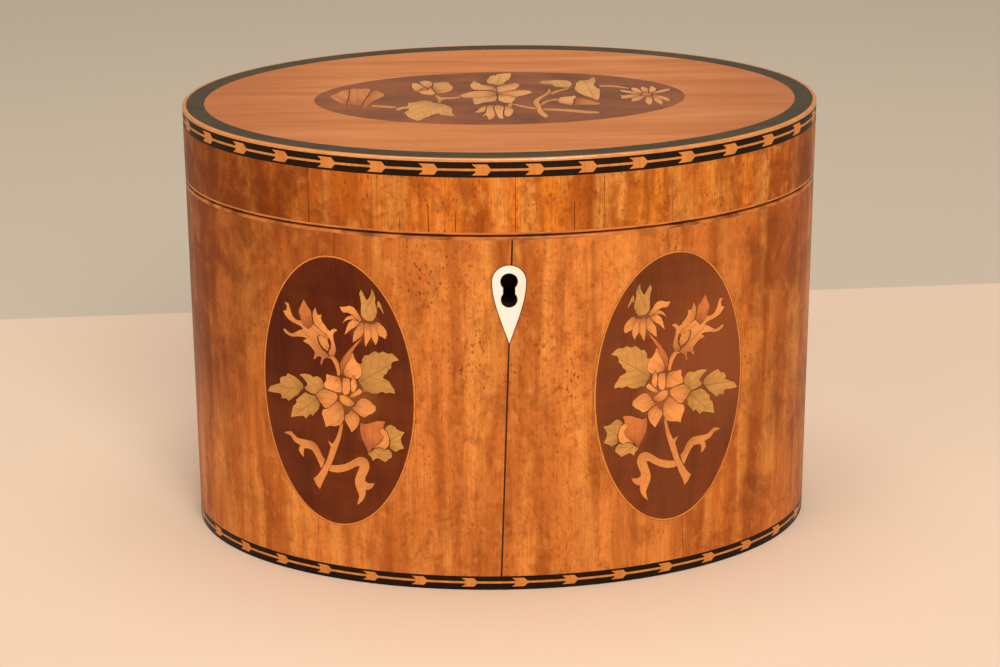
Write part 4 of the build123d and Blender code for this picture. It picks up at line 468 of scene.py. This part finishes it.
woodShaders = {
    "pine": {"Roughness": 0.62, "IOR": 1.5},
    "mahogany": {"Roughness": 0.42, "IOR": 1.5},
    "ebony": {"Roughness": 0.34, "IOR": 1.5, "Specular IOR Level": 0.12},
    # the stringing on the lid's corner and the rims' edgings, rubbed bright by hands
    "boxwood": {**polish, "Coat Weight": 0.9, "Coat Roughness": 0.07, "Coat IOR": 1.7},
    "edgingWood": {**sidePolish, "Coat Weight": 0.6, "Coat Roughness": 0.07, "Coat IOR": 1.6},
    "ovalBoxwood": sidePolish,
    "stainedGround": sidePolish,
    "stainedGroundRight": sidePolish,
}
# How each marquetry wood is scorched and engraved: shade colour, how deep at foot and edge, tones, lines
inlays = {
    "flowerWood": {"sand": "#7A3410", "foot": 0.60, "footReach": 0.42, "edge": 0.26, "tones": (0.88, 1.08),
                   "line": 0.35, "lineEnd": 0.7},
    "shadedWood": {"sand": "#6A280A", "foot": 0.60, "footReach": 0.50, "edge": 0.35, "tones": (0.90, 1.04),
                   "line": 0.30, "lineEnd": 0.8},
    "leafWood": {"sand": "#6A4A18", "foot": 0.45, "footReach": 0.35, "edge": 0.30, "tones": (0.90, 1.06),
                 "line": 0.40, "lineEnd": 0.95, "veins": (2.4, 0.22)},
    "stemWood": {"sand": "#7A3A12", "foot": 0.30, "footReach": 0.30, "edge": 0.45, "tones": (0.92, 1.04),
                 "line": 0.0, "lineEnd": 0.5},
}
for name in list(inlays):  # the lid's faded pieces are worked in the same way
    inlays[f"faded{name[0].upper()}{name[1:]}"] = inlays[name]

# What every plain wood shares: its streaks' noise, the depth of lines finer than 1 mm, and a slow wave
plainFigure = {"range": (0.40, 0.70), "detail": 3.0}
fineLineHeight = -0.003
woodWave = {"cell": (6, 9), "range": (0.35, 0.75), "height": 0.02}

made = {
    f"satinwood{place.capitalize()}": layeredMaterial(f"satinwood{place.capitalize()}", look)
    for place, look in satinwood.items()
}
for name, (colour, grain, streaks) in plainWoods.items():
    layers = [
        {"cell": (width, length), **plainFigure, "colour": tint, "amount": amount,
         "height": fineLineHeight if width < 1 else 0.0, **(more[0] if more else {})}
        for width, length, tint, amount, *more in streaks
    ]
    made[name] = layeredMaterial(name, {
        "colour": colour, "grain": grain, "layers": [*layers, woodWave], "inlay": inlays.get(name),
        "shader": woodShaders.get(name, polish), "turn": len(made),
    })
print("woods made:", len(made))

# Sheet iron of the lock case, seen only through the keyhole: painted brown-black as the shade deep inside the
# lock, mottled darker
made["oiledIron"] = layeredMaterial("oiledIron", {
    "colour": "#0C0604",
    "layers": (
        {"cell": (3, 3), "range": (0.40, 0.70), "detail": 4.0, "colour": "#1A0D07", "amount": 0.6},
        {"cell": (0.6, 0.6), "range": (0.45, 0.70), "detail": 2.0, "colour": "#040201", "amount": 0.6,
         "height": 0.02},
    ),
    "shader": {"Roughness": 0.75, "Specular IOR Level": 0.15},
})
# Brass, sawn and filed, dulled by two centuries: yellow-brown with darker tarnish in clouds
brass = {
    "colour": "#B8925A",
    "layers": (
        {"cell": (4, 5), "range": (0.40, 0.70), "detail": 4.0, "colour": "#8A6A3C", "amount": 0.6},
        {"cell": (0.25, 6), "range": (0.35, 0.75), "height": -0.002, "colour": "#CBA66C", "amount": 0.3},
        {"cell": (1.2, 1.4), "spots": (0.2, 0.3), "colour": "#5C4426", "amount": 0.6},
    ),
    "shader": {"Metallic": 1.0, "Roughness": 0.34},
}
made["brass"] = layeredMaterial("agedBrass", brass)
# The same brass on the lock plate, painted black behind the keyhole as the shade inside the lock
made["lockBrass"] = layeredMaterial("oiledBrass", {
    **brass,
    "layers": (*brass["layers"], {
        "cell": (2, 2), "range": (0.10, 0.30), "colour": "#080402", "amount": 0.98, "around": (keyhole,),
        "beyond": 8.2,
    }),
})
# Spring steel, blued by heat: dark blue-grey, with a brushed sheen along its length
made["steel"] = layeredMaterial("bluedSteel", {
    "colour": "#5A6066",
    "layers": (
        {"cell": (0.2, 5), "range": (0.35, 0.75), "height": -0.002, "colour": "#3C4148", "amount": 0.5},
    ),
    "shader": {"Metallic": 1.0, "Roughness": 0.36},
})
# Tin foil, rolled and pasted down: dull grey, wrinkled, with darker oxide in clouds
made["foil"] = layeredMaterial("tinFoil", {
    "colour": "#A3A099",
    "layers": (
        {"cell": (7, 9), "range": (0.40, 0.68), "detail": 4.0, "colour": "#77736B", "amount": 0.6,
         "height": 0.05},
        {"cell": (2.4, 3.4), "range": (0.46, 0.54), "detail": 3.0, "warp": 1.5, "height": 0.05},
    ),
    "shader": {"Metallic": 1.0, "Roughness": 0.42},
})
# Bone, sawn and polished: cream, with short darker canals along its length and a soft shine
made["bone"] = layeredMaterial("polishedBone", {
    "colour": "#FFF5EE",
    "layers": (
        {"cell": (3, 8), "range": (0.40, 0.70), "detail": 2.0, "colour": "#F0DCC0", "amount": 0.4},
        {"cell": (0.5, 4), "spots": (0.3, 0.14), "colour": "#B8966A", "amount": 0.35, "height": -0.01},
    ),
    "shader": {
        "Roughness": 0.28, "IOR": 1.54, "Subsurface Weight": 0.12,
        "Subsurface Radius": (0.0016, 0.0011, 0.0007),
    },
})
# Old glue and wax dirt in the seams round the bone and the oval stringings: nearly black and dull. On the
# keyhole's walls it is painted shade as well as dirt.
made["oldGlueAndPaintedShade"] = layeredMaterial("oldGlueAndPaintedShade", {
    "colour": "#2A1408",
    "layers": (
        {"cell": (0.5, 0.5), "range": (0.35, 0.70), "colour": "#150A04", "amount": 0.6, "height": -0.02},
    ),
    "shader": {"Roughness": 0.7, "Specular IOR Level": 0.2},
})
# Wool baize, woven and raised: green, matt and slightly fuzzy
made["baize"] = layeredMaterial("greenBaize", {
    "colour": "#2C4A34",
    "layers": (
        {"cell": (0.7, 0.7), "range": (0.35, 0.70), "detail": 3.0, "colour": "#456A4C", "amount": 0.5,
         "height": 0.12},
        {"cell": (9, 9), "range": (0.40, 0.70), "colour": "#22382A", "amount": 0.5},
    ),
    "shader": {"Roughness": 0.95, "Sheen Weight": 0.4, "Sheen Roughness": 0.5},
})
# Lining paper, pasted in and faded: pinkish brown with foxing spots
made["lining"] = layeredMaterial("fadedLining", {
    "colour": "#B58A72",
    "layers": (
        {"cell": (14, 14), "range": (0.40, 0.70), "detail": 4.0, "colour": "#96684F", "amount": 0.5},
        {"cell": (3, 3), "spots": (0.12, 0.25), "colour": "#7A4E34", "amount": 0.5},
        {"cell": (0.4, 0.4), "range": (0.35, 0.75), "height": 0.015},
    ),
    "shader": {"Roughness": 0.85},
})
print("finishes made:", len(made))

dressing = {
    "satinwoodBody": ("body_veneer",),
    "satinwoodLid": ("lid_side_veneer",),
    "satinwoodTop": ("lid_top_veneer", "cover_veneer"),
    "stainedGround": ("left_panel_ground",),
    "stainedGroundRight": ("right_panel_ground",),
    "fadedGround": ("top_ground",),
    "boxwood": ("lid_edge_stringing",),
    "edgingWood": ("rim_edging", "lid_lower_edging"),
    "featherWood": ("foot_banding_feathers", "lid_banding_feathers"),
    "ebony": ("foot_banding_ground", "lid_banding_ground", "foot_stringing"),
    "borderWood": ("lid_border",),
    "pine": ("base_board",),
    "gluedPine": ("carcass_wall", "lid_wall", "lid_board"),
    "mahogany": ("rim_facing", "lid_rim_facing", "cover_ledge", "cover_board"),
    "rosewood": ("cover_border", "cover_knob"),
    "baize": ("base_baize",),
    "foil": ("foil_floor", "foil_wall"),
    "lining": ("lid_lining", "lid_lining_wall"),
    "steel": ("lock_spring",),
    "oiledIron": ("lock_case", "lock_key_pin"),
    "lockBrass": ("lock_plate",),
    "brass": ("lock_screws", "lock_bolt", "hinge_body_leaf", "hinge_lid_leaf", "hinge_body_screws",
              "hinge_lid_screws", "hinge_pin", "link_plate", "link_screws"),
}
for name, members in dressing.items():
    for member in members:
        nodes[member].data.materials.clear()
        nodes[member].data.materials.append(made[name])
print("solids dressed")

# Marquetry: merged copies of the spray solids, in which each sawn piece is told the way of its own grain.
# All lengths are in millimetres.
marquetry = {
    # the feet of the flowers and leaves, in the drawing of their spray
    "feet": {
        "panel": ((2, -2), (-2, 9), (7.6, 18), (5.6, 3.6), (-9, -0.5), (-4.2, 0), (-5.6, -2.2), (8.5, -13.5),
                  (1.0, 4.4), (8.8, 24), (-6, -23)),
        "top": ((-0.6, 3), (0.1, -7), (-33.5, -7), (-17.8, 8.7), (-14.6, -5), (15, 9), (21.5, 12), (17.5, -5),
                (35.4, 0.7), (-0.3, 12)),
    },
    # where each drawing sits: the way round the outline, its shift and its turn in degrees
    "places": {"left": (-0.7 - outlineLength / caddy["leafCount"], 0.7, 0.0),
               "right": (-1.4 + outlineLength / caddy["leafCount"], -0.75, -2.2)},
    "woods": {"flower": "flower_wood", "shaded": "shaded_wood", "leaf": "leaf_wood", "stem": "stem_wood"},
    "nearFoot": 0.8,  # a piece whose middle is this near its foot has its grain along its longest way
    "grainApart": (20, 90),  # how far along the grain's pattern one piece may be from another
}
# How a solid is copied: vertices merge within a millionth of a metre, and edges stay sharp from 30 degrees
copying = {"merge": 1e-6, "sharp": 30}


def drawingPoint(place, point):  # a point of a solid to its spray's drawing: metres to millimetres
    x, y, z = (value / mm for value in point)
    if place == "top":
        return Vector((x, y))
    along, shift, turned = marquetry["places"][place]
    middle = outlineTurn(along)
    startX, startY = outlinePoint(middle)
    outward = Vector((math.sin(middle) / caddy["halfLength"], -math.cos(middle) / caddy["halfDepth"]))
    outward.normalize()
    across = (x - startX) * -outward.y + (y - startY) * outward.x - shift
    drawn = Matrix.Rotation(math.radians(-turned), 2) @ Vector((across, z - caddy["panelMiddle"]))
    return Vector((-drawn.x, drawn.y)) if place == "right" else drawn


def pieceIslands(shape):  # the sawn pieces of one wood, as lists of their vertices, in the mesh's own order
    seen = set()
    for first in shape.verts:
        if first in seen:
            continue
        seen.add(first)
        island, edge = [first], [first]
        while edge:
            for link in edge.pop().link_edges:
                for vertex in link.verts:
                    if vertex not in seen:
                        seen.add(vertex)
                        island.append(vertex)
                        edge.append(vertex)
        yield island


def mergedCopy(node):  # a node's loose triangles, joined
    shape = bmesh.new()
    shape.from_mesh(nodes[node].data)
    bmesh.ops.remove_doubles(shape, verts=shape.verts, dist=copying["merge"])
    return shape


def laidPiece(shape, name, finishes, body, node, slotName):  # smooth but for its edges, in place of its node
    for face in shape.faces:
        face.smooth = True
    for edge in shape.edges:
        edge.smooth = edge.calc_face_angle(0.0) < math.radians(copying["sharp"])
    mesh = bpy.data.meshes.new(name)
    shape.to_mesh(mesh)
    shape.free()
    for finish in finishes:
        mesh.materials.append(made[finish])
    piece = bpy.data.objects.new(name, mesh)
    bpy.context.scene.collection.objects.link(piece)
    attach(piece, body)
    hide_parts(node)


def inlayPieces(place, wood, slotName):
    shape = mergedCopy(f"{place}_spray_{wood}")
    grain = shape.verts.layers.float_vector.new("grainPlace")
    shares = shape.verts.layers.float_vector.new("pieceShare")
    feet = [Vector(foot) for foot in marquetry["feet"]["top" if place == "top" else "panel"]]
    chance = random.Random(f"{place}{wood}")
    for island in pieceIslands(shape):
        drawn = [drawingPoint(place, vertex.co) for vertex in island]
        middle = sum(drawn, Vector((0, 0))) / len(drawn)
        foot = min(feet, key=lambda point: min((point - corner).length for corner in drawn))
        along = middle - foot
        if wood == "stem" or along.length < marquetry["nearFoot"]:
            along = max((corner - middle for corner in drawn), key=lambda way: way.length)
        along = along.normalized()
        aside = Vector((-along.y, along.x))
        ways = [((corner - middle).dot(along), (corner - middle).dot(aside)) for corner in drawn]
        low = min(way[0] for way in ways)
        high = max(way[0] for way in ways)
        wide = max(abs(way[1]) for way in ways)
        tone = chance.random()
        apart = chance.uniform(*marquetry["grainApart"])
        for vertex, way in zip(island, ways):
            vertex[grain] = ((way[0] + apart) * mm, way[1] * mm, vertex.co.z)
            vertex[shares] = ((way[0] - low) / (high - low), way[1] / wide, tone)
    finish, body = (f"faded{wood.capitalize()}Wood", "lid") if place == "top" else (wood + "Wood", "body")
    laidPiece(shape, f"{place}Inlay{wood.capitalize()}", (finish,), body, f"{place}_spray_{wood}", slotName)


for place in ("left", "right", "top"):
    for wood, slotName in marquetry["woods"].items():
        inlayPieces(place, wood, slotName)
print("marquetry laid")

# Pieces let in with a thin dark seam at their edges
seams = {
    "pieces": {  # new name, finish, slot and the seam in millimetres
        "escutcheon": ("escutcheonPlate", "bone", "bone", 0.16),
        "left_panel_stringing": ("leftStringing", "ovalBoxwood", "boxwood", 0.07),
        "right_panel_stringing": ("rightStringing", "ovalBoxwood", "boxwood", 0.07),
    },
    "frontNormal": -0.7,  # faces whose normal has a y below this are the front
    "sideNormal": 0.5,  # and those whose y is nearer 0 than this are the sides
}
for node, (name, finish, slotName, seam) in seams["pieces"].items():
    shape = mergedCopy(node)
    front = [face for face in shape.faces if face.normal.y < seams["frontNormal"]]
    rim = bmesh.ops.inset_region(shape, faces=front, thickness=seam * mm, use_boundary=True,
                                 use_even_offset=True)
    # the sides, among them the keyhole's walls, take the dark seam finish too: there it is painted shade as
    # well as dirt
    sides = [face for face in shape.faces if abs(face.normal.y) < seams["sideNormal"]]
    for face in rim["faces"] + sides:
        face.material_index = 1
    laidPiece(shape, name, (finish, "oldGlueAndPaintedShade"), "body", node, slotName)
print("seamed pieces laid")

# Stage: a plain pale floor, a plain wall tone that lies flat behind it, and soft lights. Lengths in metres.
stage = {
    "floorColour": "#E6CFB9",
    "floorReach": 3,
    "floorHeight": -0.00005,  # just under the caddy, so that the two don't share a plane
    "floorBack": 0.150,
    "backTurn": 3.2,  # degrees that the floor's back edge turns, its left end nearer
    "wallColour": "#CBBFAD",
    "wallReach": 4,
    "wallHeight": -0.0004,
    "wallOverlap": 0.02,
    "roughness": 0.9,
    "lights": (  # place, aim, size, watts, colour
        ((0.22, -1.20, 1.00), (0, 0, 0.05), 0.8, 15, "#FFF3E4"),
        ((-0.90, -0.95, 0.85), (0, 0, 0.05), 0.9, 3.5, "#FFF2E6"),
        ((0.02, 0.02, 1.35), (0, 0, 0.05), 1.0, 9.5, "#FFF6EE"),
    ),
    "worldColour": "#E4DCD0",
    "worldStrength": 0.30,
}


def stagePlane(name, low, high, height, colour):
    middle = ((low[0] + high[0]) / 2, (low[1] + high[1]) / 2, height)
    shape = bmesh.new()
    bmesh.ops.create_grid(shape, x_segments=1, y_segments=1, size=0.5)  # one metre square
    bmesh.ops.scale(shape, vec=(high[0] - low[0], high[1] - low[1], 1), verts=shape.verts)
    bmesh.ops.translate(shape, vec=middle, verts=shape.verts)
    bmesh.ops.rotate(shape, cent=(0, stage["floorBack"], 0), verts=shape.verts,
                     matrix=Matrix.Rotation(math.radians(stage["backTurn"]), 3, "Z"))
    mesh = bpy.data.meshes.new(name)
    shape.to_mesh(mesh)
    shape.free()
    plane = bpy.data.objects.new(name, mesh)
    bpy.context.scene.collection.objects.link(plane)
    material, tree = startMaterial(name)
    matt = {"Base Color": colour, "Roughness": stage["roughness"]}
    surface = addNode(tree, "ShaderNodeBsdfPrincipled", matt)
    addNode(tree, "ShaderNodeOutputMaterial", {"Surface": surface})
    mesh.materials.append(material)


floorReach, wallReach = stage["floorReach"], stage["wallReach"]
stagePlane("floor", (-floorReach, -floorReach), (floorReach, stage["floorBack"]), stage["floorHeight"],
           stage["floorColour"])
stagePlane("wallTone", (-wallReach, stage["floorBack"] - stage["wallOverlap"]), (wallReach, wallReach),
           stage["wallHeight"], stage["wallColour"])
for number, (place, aim, size, watts, colour) in enumerate(stage["lights"]):
    lamp = bpy.data.lights.new(f"softbox{number}", "AREA")
    lamp.shape = "DISK"
    lamp.size = size
    lamp.energy = watts
    lamp.color = linearColour(colour)[:3]
    holder = bpy.data.objects.new(lamp.name, lamp)
    bpy.context.scene.collection.objects.link(holder)
    holder.location = place
    holder.rotation_mode = "QUATERNION"
    holder.rotation_quaternion = (Vector(aim) - Vector(place)).to_track_quat("-Z", "Y")
world = bpy.data.worlds.new("studio")
bpy.context.scene.world = world
world.use_nodes = True
world.node_tree.nodes.clear()
air = addNode(world.node_tree, "ShaderNodeBackground", {
    "Color": stage["worldColour"], "Strength": stage["worldStrength"],
})
addNode(world.node_tree, "ShaderNodeOutputWorld", {"Surface": air})

# Camera, fitted to the photograph: metres, degrees, and the lens in millimetres
view = {
    "target": (-0.000303, 0.0, 0.04524),
    "distance": 0.658,
    "elevation": 20.36,
    "yaw": -2.01,
    "roll": -0.32,
    "lens": 95.49,
    "nearest": 0.01,  # the camera draws nothing closer
}
lift, yaw, roll = (math.radians(view[name]) for name in ("elevation", "yaw", "roll"))
back = Vector((math.sin(yaw) * math.cos(lift), -math.cos(yaw) * math.cos(lift), math.sin(lift)))
right = (-back).cross(Vector((0, 0, 1))).normalized()
up = right.cross(-back)
right, up = right * math.cos(roll) + up * math.sin(roll), up * math.cos(roll) - right * math.sin(roll)
camera = bpy.data.objects.new("camera", bpy.data.cameras.new("camera"))
bpy.context.scene.collection.objects.link(camera)
camera.data.lens = view["lens"]
camera.data.clip_start = view["nearest"]
turned = Matrix((right, up, back)).transposed()
camera.matrix_world = Matrix.Translation(Vector(view["target"]) + back * view["distance"]) @ turned.to_4x4()
bpy.context.scene.camera = camera
bpy.context.scene.view_settings.view_transform = "Standard"
print("stage set")
